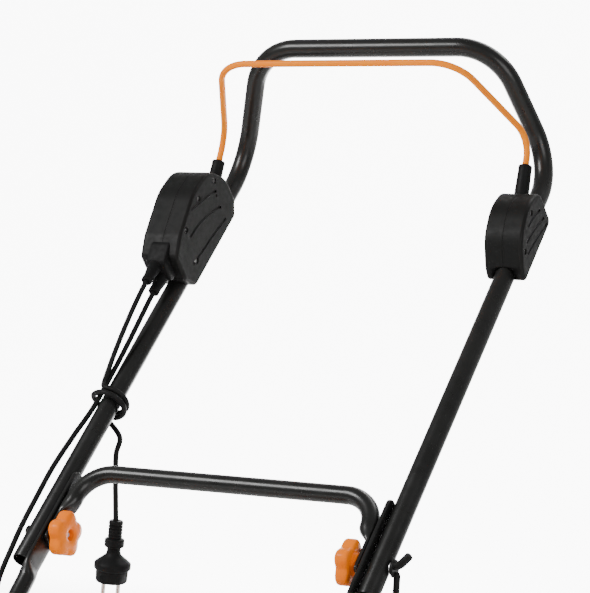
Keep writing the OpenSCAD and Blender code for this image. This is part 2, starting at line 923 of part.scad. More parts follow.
module cover_shape(profile) {
    translate([0, axis_y, 0])
        rotate_extrude()
            polygon(concat([[0, profile[0][1]]], profile));
}
module cover_screw_holes(r) {
    for (a = [45 : 90 : 315])
        translate([cover_screw_r * cos(a), axis_y + cover_screw_r * sin(a), 138])
            cylinder(r = r, h = 30);
}
module motor_cover() {
    color("#242425")
        difference() {
            union() {
                cover_shape(cover_profile);
                translate([0, axis_y, deck_top])
                    cylinder(r = cover_flange_r, h = 4);
            }
            cover_shape(cover_in);
            cover_screw_holes(1.9);
            for (i = [-3 : 3], side = [-1, 1])
                translate([side * 70, axis_y + 14 * i - 2.5, 236])
                    cube([30, 5, 60], center = false);
            rod(cable_run[4], cable_run[5] + [20, 30, -4], cord_r + 0.3);
        }
}
module cover_screws() {
    color("silver")
        for (a = [45 : 90 : 315])
            translate([cover_screw_r * cos(a), axis_y + cover_screw_r * sin(a), 0]) {
                translate([0, 0, 140])
                    cylinder(r = 1.65, h = 14);
                translate([0, 0, 154])
                    cylinder(r = 3.6, h = 2.2);
            }
}

module motor_stator() {
    color("#8f8f93")
        translate([0, axis_y, deck_top + 8])
            difference() {
                union() {
                    cylinder(r = motor_r, h = 84);
                    cylinder(r = 24, h = 92);
                    translate([0, 0, -8])
                        cylinder(r = motor_r + 6, h = 14);
                }
                translate([0, 0, 4])
                    cylinder(r = 38, h = 76);
                translate([0, 0, -10])
                    cylinder(r = 14, h = 120);
            }
}
module motor_bearings() {
    color("silver")
        for (z = [deck_top, deck_top + 92])
            translate([0, axis_y, z])
                difference() {
                    cylinder(r = 13.95, h = 8);
                    translate([0, 0, -eps])
                        cylinder(r = shaft_r + fit, h = 10);
                }
}
module motor_rotor() {
    color("#b87333")
        translate([0, axis_y, 0]) {
            translate([0, 0, 62])
                cylinder(r = shaft_r, h = 192);
            translate([0, 0, deck_top + 18])
                cylinder(r = 36.5, h = 60);
        }
}
module blade_fan() {
    color("#303032")
        translate([0, axis_y, 0])
            difference() {
                union() {
                    translate([0, 0, 62])
                        cylinder(r = 16, h = 46);
                    translate([0, 0, 96])
                        cylinder(r = 70, h = 3);
                    for (a = [0 : 30 : 330])
                        rotate([0, 0, a])
                            translate([20, -1.2, 98])
                                cube([48, 2.4, 16]);
                }
                translate([0, 0, 60])
                    cylinder(r = shaft_r + 0.02, h = 70);
            }
}
module blade() {
    color("#9a9ca0")
        translate([0, axis_y, 57.5])
            difference() {
                union() {
                    translate([-blade_len / 2, -24, 0])
                        cube([blade_len, 48, 4]);
                    for (side = [0, 180])
                        rotate([0, 0, side])
                            translate([blade_len / 2 - 70, 16, 2])
                                rotate([28, 0, 0])
                                    cube([68, 16, 3]);
                }
                translate([0, 0, -eps])
                    cylinder(r = 5, h = 8);
            }
}
module blade_bolt() {
    color("silver")
        translate([0, axis_y, 0])
            union() {
                translate([0, 0, 48])
                    cylinder(r = 9.5, h = 7, $fn = 6);
                translate([0, 0, 55])
                    cylinder(r = 14, h = 2.5);
                translate([0, 0, 57])
                    cylinder(r = 4.95, h = 5);
            }
}
module brake_module() {
    color("#3c5a3a")
        translate([-30, axis_y + 68, deck_top + 6])
            cube([60, 26, 40]);
}

module carry_handle() {
    foot = 250;
    p = [
        [0, axis_y - carry_y, foot], [0, axis_y - carry_y, carry_z],
        [0, axis_y + carry_y, carry_z], [0, axis_y + carry_y, foot]
    ];
    color("#2a2a2b")
        difference() {
            bent_rod(p, [0, 22, 22, 0], 9);
            cover_shape(cover_profile);
        }
}

// ---- wheels
module wheel(y, r, xs, side, axle_r) {
    w = xs[1] - xs[0];
    color("#1d1d1e")
        translate([side * xs[0], y, r])
            rotate([0, side * 90, 0])
                rotate_extrude($fn = 96)
                    polygon([
                        [axle_r + fit, 0], [16, 0], [16, w * 0.42], [r - 20, w * 0.42], [r - 18, 2],
                        [r - 4, 2], [r, 6], [r, w - 6], [r - 4, w - 2], [r - 18, w - 2],
                        [r - 20, w * 0.62], [16, w * 0.62], [16, w - 6], [axle_r + fit, w - 6]
                    ]);
}
module hubcap(y, r, xs, side) {
    w = xs[1] - xs[0];
    color("#f07d1d")
        translate([side * (xs[0] + w * 0.62 + 0.1), y, r])
            rotate([0, side * 90, 0])
                rotate_extrude()
                    polygon([
                        [17, 0], [21, 0], [21, w * 0.38 - 5], [r - 24, w * 0.38 - 8], [r - 23, w * 0.38 - 6],
                        [26, w * 0.38 + 1], [0, w * 0.38 + 4], [0, w * 0.38 + 1], [17, w * 0.38 - 2]
                    ]);
}
module wheel_front_left() {
    wheel(-front_axle_y, front_r, front_x, 1, front_axle_r);
}
module wheel_front_right() {
    wheel(-front_axle_y, front_r, front_x, -1, front_axle_r);
}
module wheel_rear_left() {
    wheel(-rear_axle_y, rear_r, rear_x, 1, rear_axle_r);
}
module wheel_rear_right() {
    wheel(-rear_axle_y, rear_r, rear_x, -1, rear_axle_r);
}
module hubcap_front_left() {
    hubcap(-front_axle_y, front_r, front_x, 1);
}
module hubcap_front_right() {
    hubcap(-front_axle_y, front_r, front_x, -1);
}
module hubcap_rear_left() {
    hubcap(-rear_axle_y, rear_r, rear_x, 1);
}
module hubcap_rear_right() {
    hubcap(-rear_axle_y, rear_r, rear_x, -1);
}
module front_axle() {
    color("silver")
        x_pin(-front_axle_y, front_r, -front_x[1] + 2, front_x[1] - 2, front_axle_r);
}
module rear_axles() {
    color("silver")
        for (side = [-1, 1])
            x_pin(-rear_axle_y, rear_r, side * 100, side * (rear_x[1] - 2), rear_axle_r);
}
module clip_ring(y, z, x, side, axle_r) {
    difference() {
        x_pin(y, z, x, x + side * 1.6, axle_r + 4);
        x_pin(y, z, x - side, x + side * 3, axle_r + 0.02);
    }
}
module axle_clips() {
    color("silver")
        for (side = [-1, 1]) {
            clip_ring(-front_axle_y, front_r, side * (front_x[1] - 5.6), side, front_axle_r);
            clip_ring(-rear_axle_y, rear_r, side * (rear_x[1] - 5.6), side, rear_axle_r);
        }
}

// ---- rear flap
flap_half = 86;
module rear_flap() {
    color("#242425")
        difference() {
            union() {
                x_pin(flap_y, flap_z, -flap_half, flap_half - 16, 4.6);
                translate([-flap_half, flap_y, 50])
                    cube([2 * flap_half, 3.5, flap_z - 56]);
                translate([-flap_half, flap_y, flap_z - 8])
                    cube([2 * flap_half - 16, 3.5, 8]);
            }
            x_pin(flap_y, flap_z, -100, 100, 2.5 + fit);
        }
}
module flap_pin() {
    color("silver")
        x_pin(flap_y, flap_z, -95, 95, 2.5);
}
module flap_spring() {
    color("silver")
        for (i = [0 : 6])
            translate([72 + 1.9 * i, flap_y, flap_z])
                rotate([0, 90, 0])
                    rotate_extrude()
                        translate([3.5, 0])
                            circle(0.7);
}

module bracket_screws() {
    color("silver")
        for (side = [-1, 1]) {
            p = lower_point(side * lower_flat_x, lower_len - 35);
            x_pin(p.y, p.z, side * 172.5, side * 199, 3);
            x_pin(p.y, p.z, side * 198, side * 202, 6);
        }
}

upper_handle_tube();
lower_tube_left();
lower_tube_right();
crossbar();
crossbar_rivets();
handle_bolts();
knob_left();
knob_right();
knob_nut_left();
knob_nut_right();
cord_hook();
bail_lever();
bail_boot_left();
bail_boot_right();
bail_hub_left();
bail_hub_right();
bail_pivot_pins();
bail_return_spring();
switch_box_outer_shell();
switch_box_inner_shell();
switch_box_screws();
switch_unit();
safety_button();
button_spring();
cable_glands();
pivot_box_outer_shell();
pivot_box_inner_shell();
pivot_box_screws();
mains_cord();
plug_body();
plug_pins();
motor_cable_upper();
motor_cable_lower();
cable_clips();
deck_shell();
motor_cover();
cover_screws();
motor_stator();
motor_bearings();
motor_rotor();
blade_fan();
blade();
blade_bolt();
brake_module();
carry_handle();
front_axle();
rear_axles();
axle_clips();
wheel_front_left();
wheel_front_right();
wheel_rear_left();
wheel_rear_right();
hubcap_front_left();
hubcap_front_right();
hubcap_rear_left();
hubcap_rear_right();
rear_flap();
flap_pin();
flap_spring();
bracket_screws();
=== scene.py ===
"""Looks of a corded push lawn mower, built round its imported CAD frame. All lengths are metres."""

import json
import math

import bmesh
import bpy
from mathutils import Matrix, Vector


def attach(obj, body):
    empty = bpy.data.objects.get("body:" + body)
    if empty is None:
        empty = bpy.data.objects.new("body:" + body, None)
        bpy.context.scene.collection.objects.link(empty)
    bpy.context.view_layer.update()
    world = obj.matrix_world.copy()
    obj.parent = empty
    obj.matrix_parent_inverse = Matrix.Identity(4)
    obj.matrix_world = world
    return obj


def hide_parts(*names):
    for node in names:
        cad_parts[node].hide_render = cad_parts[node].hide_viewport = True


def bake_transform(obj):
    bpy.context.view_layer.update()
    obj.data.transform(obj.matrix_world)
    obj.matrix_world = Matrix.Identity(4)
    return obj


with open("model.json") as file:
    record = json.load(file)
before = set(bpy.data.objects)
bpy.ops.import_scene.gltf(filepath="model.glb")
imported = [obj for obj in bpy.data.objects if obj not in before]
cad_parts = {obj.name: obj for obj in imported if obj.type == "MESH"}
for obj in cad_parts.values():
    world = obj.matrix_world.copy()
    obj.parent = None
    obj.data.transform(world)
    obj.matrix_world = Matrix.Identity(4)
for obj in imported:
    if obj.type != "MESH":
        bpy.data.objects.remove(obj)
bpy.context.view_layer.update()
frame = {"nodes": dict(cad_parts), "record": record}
scene = bpy.context.scene

MM = 0.001

# ---- driving dimensions, the same as in the CAD source
LEG_X = 0.198
UPPER_R = 0.011
LOWER_R = 0.0095
TUBE_WALL = 0.0012
LEG_LEN = 0.640
LEG_SLOPE = math.radians(38.8)
BEND_Y, BEND_Z = 0.635, 0.883
BOLT_L = 0.600
LOWER_SLOPE = math.radians(41.5)
LOWER_LEN = 0.430
FLAT_T = 0.005
FLAT_W = 0.027
BODY_GAP = 0.0004
CORD_R = 0.003
BAIL_R = 0.0038
AXIS_Y = -0.365
DECK_TOP = 0.150
RIM_Z = 0.038
LOWER_X = LEG_X - UPPER_R - BODY_GAP - FLAT_T / 2
CROSS_X = LOWER_X - FLAT_T


# ---- frames of reference
def leg_point(x, off, l):
    """A point on the leg's own frame: x across, off in front of the leg, l down the leg."""
    return Vector((
        x,
        BEND_Y - l * math.cos(LEG_SLOPE) - off * math.sin(LEG_SLOPE),
        BEND_Z - l * math.sin(LEG_SLOPE) + off * math.cos(LEG_SLOPE),
    ))


def lower_point(x, s, off=0.0):
    """A point on a lower tube's frame, s down the tube from the clamping bolt."""
    bolt = leg_point(x, 0, BOLT_L)
    return Vector((
        x,
        bolt.y - s * math.cos(LOWER_SLOPE) - off * math.sin(LOWER_SLOPE),
        bolt.z - s * math.sin(LOWER_SLOPE) + off * math.cos(LOWER_SLOPE),
    ))


def flipped(points, side):
    return [Vector((side * p.x, p.y, p.z)) for p in points]


# ---- camera
CAMERA_AT = Vector((1.09835, -1.80081, 0.96547))
CAMERA_LOOK = Vector((-0.44877, 0.88920, -0.08907))
CAMERA_LENS = 136.62
camera_data = bpy.data.cameras.new("camera")
camera = bpy.data.objects.new("camera", camera_data)
scene.collection.objects.link(camera)
camera_data.lens = CAMERA_LENS
camera_data.sensor_width = 36
camera_data.clip_end = 50
camera.location = CAMERA_AT
camera.rotation_euler = CAMERA_LOOK.to_track_quat("-Z", "Y").to_euler()
scene.camera = camera


# ---- material helpers
class Nodes:
    """A material with a Principled shader, and short calls for the nodes that feed it."""

    def __init__(self, name, colour, roughness, metallic=0.0, coat=0.0, coat_roughness=0.05, specular=0.5):
        self.material = bpy.data.materials.new(name)
        self.material.use_nodes = True
        self.tree = self.material.node_tree
        self.shader = self.tree.nodes["Principled BSDF"]
        self.shader.inputs["Base Color"].default_value = (*colour, 1)
        self.shader.inputs["Roughness"].default_value = roughness
        self.shader.inputs["Metallic"].default_value = metallic
        self.shader.inputs["Coat Weight"].default_value = coat
        self.shader.inputs["Coat Roughness"].default_value = coat_roughness
        self.shader.inputs["Specular IOR Level"].default_value = specular
        self.coordinates = self.tree.nodes.new("ShaderNodeTexCoord").outputs["Object"]

    def link(self, a, b):
        self.tree.links.new(a, b)

    def noise(self, scale, detail=4.0, rough=0.55, stretch=(1, 1, 1)):
        mapping = self.tree.nodes.new("ShaderNodeMapping")
        mapping.inputs["Scale"].default_value = stretch
        self.link(self.coordinates, mapping.inputs["Vector"])
        node = self.tree.nodes.new("ShaderNodeTexNoise")
        node.inputs["Scale"].default_value = scale
        node.inputs["Detail"].default_value = detail
        node.inputs["Roughness"].default_value = rough
        self.link(mapping.outputs["Vector"], node.inputs["Vector"])
        return node.outputs["Fac"]

    def cells(self, scale):
        node = self.tree.nodes.new("ShaderNodeTexVoronoi")
        node.inputs["Scale"].default_value = scale
        self.link(self.coordinates, node.inputs["Vector"])
        return node.outputs["Distance"]

    def ramp(self, value, low, high, a, b):
        node = self.tree.nodes.new("ShaderNodeMapRange")
        node.inputs["From Min"].default_value = low
        node.inputs["From Max"].default_value = high
        node.inputs["To Min"].default_value = a
        node.inputs["To Max"].default_value = b
        self.link(value, node.inputs["Value"])
        return node.outputs["Result"]

    def colours(self, value, stops):
        node = self.tree.nodes.new("ShaderNodeValToRGB")
        ramp = node.color_ramp
        while len(ramp.elements) < len(stops):
            ramp.elements.new(0.5)
        for element, (at, colour) in zip(ramp.elements, stops):
            element.position = at
            element.color = (*colour, 1)
        self.link(value, node.inputs["Fac"])
        self.link(node.outputs["Color"], self.shader.inputs["Base Color"])

    def combine(self, operation, a, b=None):
        node = self.tree.nodes.new("ShaderNodeMath")
        node.operation = operation
        self.link(a, node.inputs[0])
        if isinstance(b, (int, float)):
            node.inputs[1].default_value = b
        elif b is not None:
            self.link(b, node.inputs[1])
        return node.outputs["Value"]

    def rough(self, value, a, b, low=0.3, high=0.7):
        self.link(self.ramp(value, low, high, a, b), self.shader.inputs["Roughness"])

    def bump(self, value, distance, strength=1.0, after=None):
        node = self.tree.nodes.new("ShaderNodeBump")
        node.inputs["Distance"].default_value = distance
        node.inputs["Strength"].default_value = strength
        self.link(value, node.inputs["Height"])
        if after is not None:
            self.link(after, node.inputs["Normal"])
        self.link(node.outputs["Normal"], self.shader.inputs["Normal"])
        return node.outputs["Normal"]


def shade(colour, k):
    return tuple(min(1.0, c * k) for c in colour)


def gloss_paint():
    """Black gloss powder coat: orange peel and faint handling marks."""
    colour = (0.009, 0.009, 0.0085)
    m = Nodes("black_gloss_paint", colour, 0.30, coat=0.12, coat_roughness=0.14, specular=0.3)
    cloudy = m.noise(22, 5)
    m.colours(cloudy, [(0.3, shade(colour, 0.8)), (0.7, shade(colour, 1.35))])
    m.rough(m.noise(60, 6), 0.24, 0.36)
    m.bump(m.noise(300, 2, 0.4), 0.00003, 0.5)
    return m.material


def grained_plastic(name, colour, rough_low=0.42, rough_high=0.58, grain=2600, depth=0.00006):
    """Moulded plastic with a fine spark-eroded grain and a faint colour drift."""
    m = Nodes(name, colour, rough_low, specular=0.14)
    m.colours(m.noise(30, 4), [(0.3, shade(colour, 0.85)), (0.7, shade(colour, 1.18))])
    m.rough(m.noise(140, 5), rough_low, rough_high)
    fine = m.bump(m.noise(grain, 3, 0.6), depth, 0.6)
    m.bump(m.cells(grain * 0.6), depth * 0.6, 0.4, fine)
    return m.material


def gloss_plastic(name, colour, deep, rough_low=0.22, rough_high=0.36):
    """Glossy coloured plastic with soft flow marks."""
    m = Nodes(name, colour, rough_low, coat=0.0, specular=0.12)
    m.colours(m.noise(18, 3), [(0.25, deep), (0.75, colour)])
    m.rough(m.noise(90, 5), rough_low, rough_high)
    m.bump(m.noise(260, 2), 0.00008, 0.35)
    return m.material


def bail_coat():
    """Orange dip coat on steel wire."""
    colour = (1.0, 0.26, 0.0)
    m = Nodes("orange_wire", colour, 0.42, specular=0.12)
    m.colours(m.noise(40, 4), [(0.25, (1.0, 0.23, 0.0)), (0.75, (1.0, 0.28, 0.0))])
    m.rough(m.noise(120, 5), 0.36, 0.50)
    m.bump(m.noise(500, 2), 0.00006, 0.4)
    return m.material


def rubber(name, colour, rough_low=0.45, rough_high=0.65):
    m = Nodes(name, colour, rough_low, specular=0.12)
    m.colours(m.noise(55, 5), [(0.3, shade(colour, 0.75)), (0.7, shade(colour, 1.3))])
    m.rough(m.noise(200, 5), rough_low, rough_high)
    m.bump(m.noise(900, 3), 0.00008, 0.5)
    return m.material


def zinc():
    """Bright zinc plate, slightly blotched."""
    m = Nodes("zinc_steel", (0.62, 0.62, 0.60), 0.3, metallic=1.0)
    m.colours(m.noise(80, 5), [(0.3, (0.50, 0.50, 0.49)), (0.7, (0.70, 0.70, 0.68))])
    m.rough(m.noise(160, 6), 0.22, 0.42)
    m.bump(m.noise(700, 3), 0.00004, 0.5)
    return m.material


def nickel():
    m = Nodes("nickel_pins", (0.74, 0.72, 0.67), 0.16, metallic=1.0)
    m.colours(m.noise(120, 4), [(0.3, (0.68, 0.66, 0.61)), (0.7, (0.80, 0.78, 0.73))])
    m.rough(m.noise(240, 5, stretch=(1, 1, 0.2)), 0.12, 0.26)
    m.bump(m.noise(900, 2, stretch=(1, 1, 0.1)), 0.00003, 0.4)
    return m.material


def blade_paint():
    """Black stoved paint, rubbed back to steel in patches."""
    m = Nodes("blade_steel", (0.05, 0.05, 0.055), 0.4)
    m.colours(m.noise(35, 6),
              [(0.50, (0.035, 0.035, 0.038)), (0.62, (0.05, 0.05, 0.055)), (0.70, (0.30, 0.30, 0.31))])
    m.rough(m.noise(90, 6), 0.3, 0.5)
    m.bump(m.noise(300, 4), 0.0002, 0.5)
    return m.material


def laminations():
    """Stacked motor steel: fine lines across the axis."""
    m = Nodes("lamination_steel", (0.25, 0.25, 0.26), 0.45, metallic=0.9)
    wave = m.tree.nodes.new("ShaderNodeTexWave")
    wave.bands_direction = "Z"
    wave.inputs["Scale"].default_value = 320
    wave.inputs["Distortion"].default_value = 0.2
    m.link(m.coordinates, wave.inputs["Vector"])
    m.colours(wave.outputs["Fac"], [(0.2, (0.14, 0.14, 0.145)), (0.8, (0.32, 0.32, 0.33))])
    m.rough(m.noise(120, 4), 0.35, 0.55)
    m.bump(wave.outputs["Fac"], 0.0002, 0.6)
    return m.material


def winding():
    """Lacquered copper wire: fine turns along the shaft."""
    m = Nodes("copper_winding", (0.60, 0.26, 0.10), 0.3, metallic=0.8)
    wave = m.tree.nodes.new("ShaderNodeTexWave")
    wave.bands_direction = "X"
    wave.inputs["Scale"].default_value = 220
    wave.inputs["Distortion"].default_value = 1.5
    m.link(m.coordinates, wave.inputs["Vector"])
    m.colours(wave.outputs["Fac"], [(0.2, (0.34, 0.12, 0.04)), (0.8, (0.70, 0.32, 0.13))])
    m.rough(m.noise(150, 4), 0.25, 0.4)
    m.bump(wave.outputs["Fac"], 0.0003, 0.7)
    return m.material


def plain_plastic(name, colour):
    m = Nodes(name, colour, 0.4)
    m.colours(m.noise(40, 4), [(0.3, shade(colour, 0.86)), (0.7, shade(colour, 1.1))])
    m.rough(m.noise(150, 5), 0.34, 0.5)
    m.bump(m.noise(800, 3), 0.00005, 0.5)
    return m.material


MATERIALS = {
    "black_gloss_paint": gloss_paint(),
    "black_plastic": grained_plastic("black_plastic", (0.008, 0.008, 0.0076)),
    "wheel_plastic": grained_plastic("wheel_plastic", (0.020, 0.020, 0.020), 0.5, 0.7, 1400, 0.0001),
    "orange_plastic": gloss_plastic("orange_plastic", (1.0, 0.24, 0.0), (1.0, 0.19, 0.0)),
    "deck_plastic": gloss_plastic("deck_plastic", (0.97, 0.245, 0.008), (0.93, 0.20, 0.005), 0.26, 0.42),
    "orange_wire": bail_coat(),
    "black_rubber": rubber("black_rubber", (0.007, 0.007, 0.007)),
    "cord_jacket": rubber("cord_jacket", (0.010, 0.010, 0.010), 0.42, 0.58),
    "zinc_steel": zinc(),
    "nickel_pins": nickel(),
    "white_plastic": plain_plastic("white_plastic", (0.78, 0.75, 0.66)),
    "red_plastic": plain_plastic("red_plastic", (0.62, 0.03, 0.02)),
    "green_board": plain_plastic("green_board", (0.03, 0.16, 0.06)),
    "lamination_steel": laminations(),
    "copper_winding": winding(),
    "blade_steel": blade_paint(),
}
for part in frame["record"]["subparts"]:
    node_object = frame["nodes"][part["node"]]
    node_object.data.materials.clear()
    node_object.data.materials.append(MATERIALS[part["material_slot"]])


# ---- mesh helpers
def add_mesh(name, vertices, faces, smooth=40):
    """A mesh object with outward faces, shaded smooth up to an angle in degrees."""
    mesh = bpy.data.meshes.new(name)
    mesh.from_pydata([tuple(v) for v in vertices], [], faces)
    bm = bmesh.new()
    bm.from_mesh(mesh)
    bmesh.ops.remove_doubles(bm, verts=bm.verts, dist=1e-7)
    bmesh.ops.recalc_face_normals(bm, faces=bm.faces)
    bm.to_mesh(mesh)
    bm.free()
    obj = bpy.data.objects.new(name, mesh)
    scene.collection.objects.link(obj)
    if smooth:
        smooth_by_angle(obj, smooth)
    return obj


def smooth_by_angle(obj, degrees):
    mesh = obj.data
    bm = bmesh.new()
    bm.from_mesh(mesh)
    limit = math.radians(degrees)
    for face in bm.faces:
        face.smooth = True
    for edge in bm.edges:
        edge.smooth = len(edge.link_faces) == 2 and edge.calc_face_angle(math.pi) < limit
    bm.to_mesh(mesh)
    bm.free()


def hand(side):
    """Left and right as the operator sees them."""
    return "left" if side > 0 else "right"


def coat(obj, slot):
    obj.data.materials.clear()
    obj.data.materials.append(MATERIALS[slot])


def finish_piece(obj, slot, body, *nodes):
    """Gives a piece its material, the body it rides on and the CAD nodes that it stands for."""
    coat(obj, slot)
    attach(obj, body)
    if nodes:
        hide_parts(*nodes)
    return obj


def finish_blend(obj, slot, start, end, *nodes):
    """Gives a piece its material, bakes its placement into its mesh and hides the CAD nodes that it stands
    for.
    """
    coat(obj, slot)
    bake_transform(obj)
    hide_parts(*nodes)


def flat_faces(obj):
    """Keeps large flat faces flat beside the small rounded edges round them."""
    modifier = obj.modifiers.new("weighted", "WEIGHTED_NORMAL")
    modifier.keep_sharp = True
    modifier.weight = 100
    return apply_modifiers(obj)


def apply_modifiers(obj):
    bpy.context.view_layer.update()
    graph = bpy.context.evaluated_depsgraph_get()
    mesh = bpy.data.meshes.new_from_object(obj.evaluated_get(graph))
    obj.modifiers.clear()
    obj.data = mesh
    return obj


def cut(obj, *cutters, operation="DIFFERENCE"):
    """Cuts obj with other objects, which are removed."""
    for cutter in cutters:
        modifier = obj.modifiers.new("cut", "BOOLEAN")
        modifier.operation = operation
        modifier.solver = "EXACT"
        modifier.object = cutter
        apply_modifiers(obj)
        bpy.data.objects.remove(cutter)
    return obj


def bevelled(obj, width, segments=2, angle=40):
    modifier = obj.modifiers.new("bevel", "BEVEL")
    modifier.width = width
    modifier.segments = segments
    modifier.limit_method = "ANGLE"
    modifier.angle_limit = math.radians(angle)
    modifier.use_clamp_overlap = True
    apply_modifiers(obj)
    return obj


def joined(name, objects):
    """One object out of several."""
    bm = bmesh.new()
    for obj in objects:
        bm.from_mesh(obj.data)
    mesh = bpy.data.meshes.new(name)
    bm.to_mesh(mesh)
    bm.free()
    result = bpy.data.objects.new(name, mesh)
    scene.collection.objects.link(result)
    for obj in objects:
        bpy.data.objects.remove(obj)
    return result


def assembled(name, pieces, slot, body, *nodes, angle=35):
    """Several meshes joined into one finished piece."""
    obj = joined(name, pieces)
    smooth_by_angle(obj, angle)
    return finish_piece(obj, slot, body, *nodes)


def loft(name, rings, smooth=40):
    """A skin over rings of equal size, closed by a flat face at each end."""
    sides = len(rings[0])
    faces = [(a + k, a + sides + k, a + sides + (k + 1) % sides, a + (k + 1) % sides)
             for a in range(0, (len(rings) - 1) * sides, sides) for k in range(sides)]
    faces.append(tuple(range(sides)))
    faces.append(tuple((len(rings) - 1) * sides + k for k in range(sides)))
    return add_mesh(name, [p for ring in rings for p in ring], faces, smooth)


def block(name, low, high, place=Matrix()):
    """A box between two corners, moved by a matrix."""
    vertices = [place @ Vector((x, y, z)) for x in (low[0], high[0]) for y in (low[1], high[1])
                for z in (low[2], high[2])]
    faces = [(0, 1, 3, 2), (4, 6, 7, 5), (0, 4, 5, 1), (2, 3, 7, 6), (0, 2, 6, 4), (1, 5, 7, 3)]
    return add_mesh(name, vertices, faces, 0)


def bent(points, radii, step=math.radians(5)):
    """A path with its corners rounded: (points, list of the same length as points of radii)."""
    path = [Vector(points[0])]
    for i in range(1, len(points) - 1):
        a, b, c = (Vector(p) for p in points[i - 1:i + 2])
        u, w = (b - a).normalized(), (c - b).normalized()
        turn = u.angle(w)
        radius = radii[i]
        start = b - u * radius * math.tan(turn / 2)
        inward = (w - u * w.dot(u)).normalized()
        centre = start + inward * radius
        count = max(2, int(turn / step))
        for k in range(count + 1):
            t = turn * k / count
            path.append(centre - inward * radius * math.cos(t) + u * radius * math.sin(t))
    path.append(Vector(points[-1]))
    return path


def smooth_curve(points, steps=6):
    """A Catmull-Rom curve through the points."""
    points = [Vector(p) for p in points]
    path = []
    for i in range(len(points) - 1):
        a = points[max(i - 1, 0)]
        b, c = points[i], points[i + 1]
        d = points[min(i + 2, len(points) - 1)]
        for k in range(steps):
            t = k / steps
            path.append(0.5 * (2 * b + (c - a) * t + (2 * a - 5 * b + 4 * c - d) * t * t
                               + (3 * b - a - 3 * c + d) * t ** 3))
    path.append(points[-1])
    return path


def frames_along(path, hint=Vector((1, 0, 0))):
    """A side and an up vector at each point, turned as little as possible along the path."""
    result = []
    side = None
    for i in range(len(path)):
        tangent = (path[min(i + 1, len(path) - 1)] - path[max(i - 1, 0)]).normalized()
        if side is None:
            side = hint if abs(hint.dot(tangent)) < 0.9 else Vector((0, 1, 0))
        side = (side - tangent * side.dot(tangent)).normalized()
        result.append((side, tangent.cross(side), tangent))
    return result


def circle(radius, sides):
    return [(radius * math.cos(2 * math.pi * k / sides), radius * math.sin(2 * math.pi * k / sides))
            for k in range(sides)]


def flat_section(width, thick, sides, power=4.0):
    """A rounded rectangle as a superellipse: thick along the side vector, width along the up vector."""
    points = []
    for k in range(sides):
        a = 2 * math.pi * k / sides
        c, s = math.cos(a), math.sin(a)
        points.append((thick / 2 * math.copysign(abs(c) ** (2 / power), c),
                       width / 2 * math.copysign(abs(s) ** (2 / power), s)))
    return points


def place_ring(p, axes, section):
    return [p + axes[0] * a + axes[1] * b for a, b in section]


def swept(name, path, radius, sides=32, hint=Vector((1, 0, 0)), mouth=None, rounding=0.0008):
    """A round bar along a path, or a tube when mouth gives its bore; its ends are slightly rounded."""
    axes = frames_along(path, hint)

    def end(index, inwards):
        """Rings from the bore's floor or the end's middle out to the full radius."""
        steps = [(0.03, mouth), (0, mouth)] if mouth else []
        steps += [(0, radius - rounding), (rounding * 0.3, radius - 0.3 * rounding), (rounding, radius)]
        tangent = axes[index][2] * inwards
        return [place_ring(path[index] + tangent * depth, axes[index], circle(r, sides))
                for depth, r in steps]

    middle = [place_ring(p, a, circle(radius, sides)) for p, a in list(zip(path, axes))[1:-1]]
    return loft(name, end(0, 1) + middle + end(-1, -1)[::-1])


def axis_matrix(origin, axis, hint=Vector((1, 0, 0))):
    """Takes +Z to axis and the origin to a point."""
    z = Vector(axis).normalized()
    x = (hint - z * hint.dot(z)).normalized()
    y = z.cross(x)
    return Matrix.Translation(origin) @ Matrix((x, y, z)).transposed().to_4x4()


def lathe(name, profile, matrix, sides=64, radius=lambda r, z, a: r, smooth=35):
    """A turned body: profile holds (radius, height) pairs; radius() may shape it by angle."""
    vertices, faces = [], []
    rows = []
    for r, z in profile:
        if r < 1e-7:
            rows.append([len(vertices)])
            vertices.append(matrix @ Vector((0, 0, z)))
            continue
        row = []
        for k in range(sides):
            a = 2 * math.pi * k / sides
            q = radius(r, z, a)
            row.append(len(vertices))
            vertices.append(matrix @ Vector((q * math.cos(a), q * math.sin(a), z)))
        rows.append(row)
    closed = len(rows[0]) > 1 and len(rows[-1]) > 1
    pairs = list(zip(rows, rows[1:])) + ([(rows[-1], rows[0])] if closed else [])
    for a, b in pairs:
        for k in range(sides):
            n = (k + 1) % sides
            if len(a) == 1 and len(b) == 1:
                continue
            if len(a) == 1:
                faces.append((a[0], b[k], b[n]))
            elif len(b) == 1:
                faces.append((a[k], b[0], a[n]))
            else:
                faces.append((a[k], b[k], b[n], a[n]))
    return add_mesh(name, vertices, faces, smooth)


def rounded_outline(points, radii, steps=8):
    """A polygon with each corner replaced by an arc of its own radius."""
    result = []
    count = len(points)
    for i in range(count):
        a, b, c = (Vector(points[(i + k) % count]) for k in (-1, 0, 1))
        u, w = (a - b).normalized(), (c - b).normalized()
        half = u.angle(w) / 2
        reach = min(radii[i] / math.tan(half), 0.45 * (a - b).length, 0.45 * (c - b).length)
        r = reach * math.tan(half)
        centre = b + (u + w).normalized() * r / math.sin(half)
        s, e = b + u * reach - centre, b + w * reach - centre
        start = math.atan2(s.y, s.x)
        turn = math.atan2(s.x * e.y - s.y * e.x, s.dot(e))
        for k in range(steps + 1):
            t = start + turn * k / steps
            result.append(centre + r * Vector((math.cos(t), math.sin(t))))
    return result


def inset_outline(points, d):
    """An anticlockwise outline moved inwards by d."""
    result = []
    count = len(points)
    for i in range(count):
        a, b, c = (points[(i + k) % count] for k in (-1, 0, 1))
        u, w = (b - a).normalized(), (c - b).normalized()
        n, m = Vector((u.y, -u.x)), Vector((w.y, -w.x))
        result.append(b - (n + m) * d / (1 + n.dot(m)))
    return result


def leg_slab(name, outline, x0, x1, smooth=40):
    """An (off, l) outline extruded across the mower."""
    rings = [[leg_point(x, p.x, p.y) for p in outline] for x in (x0, x1)]
    return loft(name, rings, smooth)


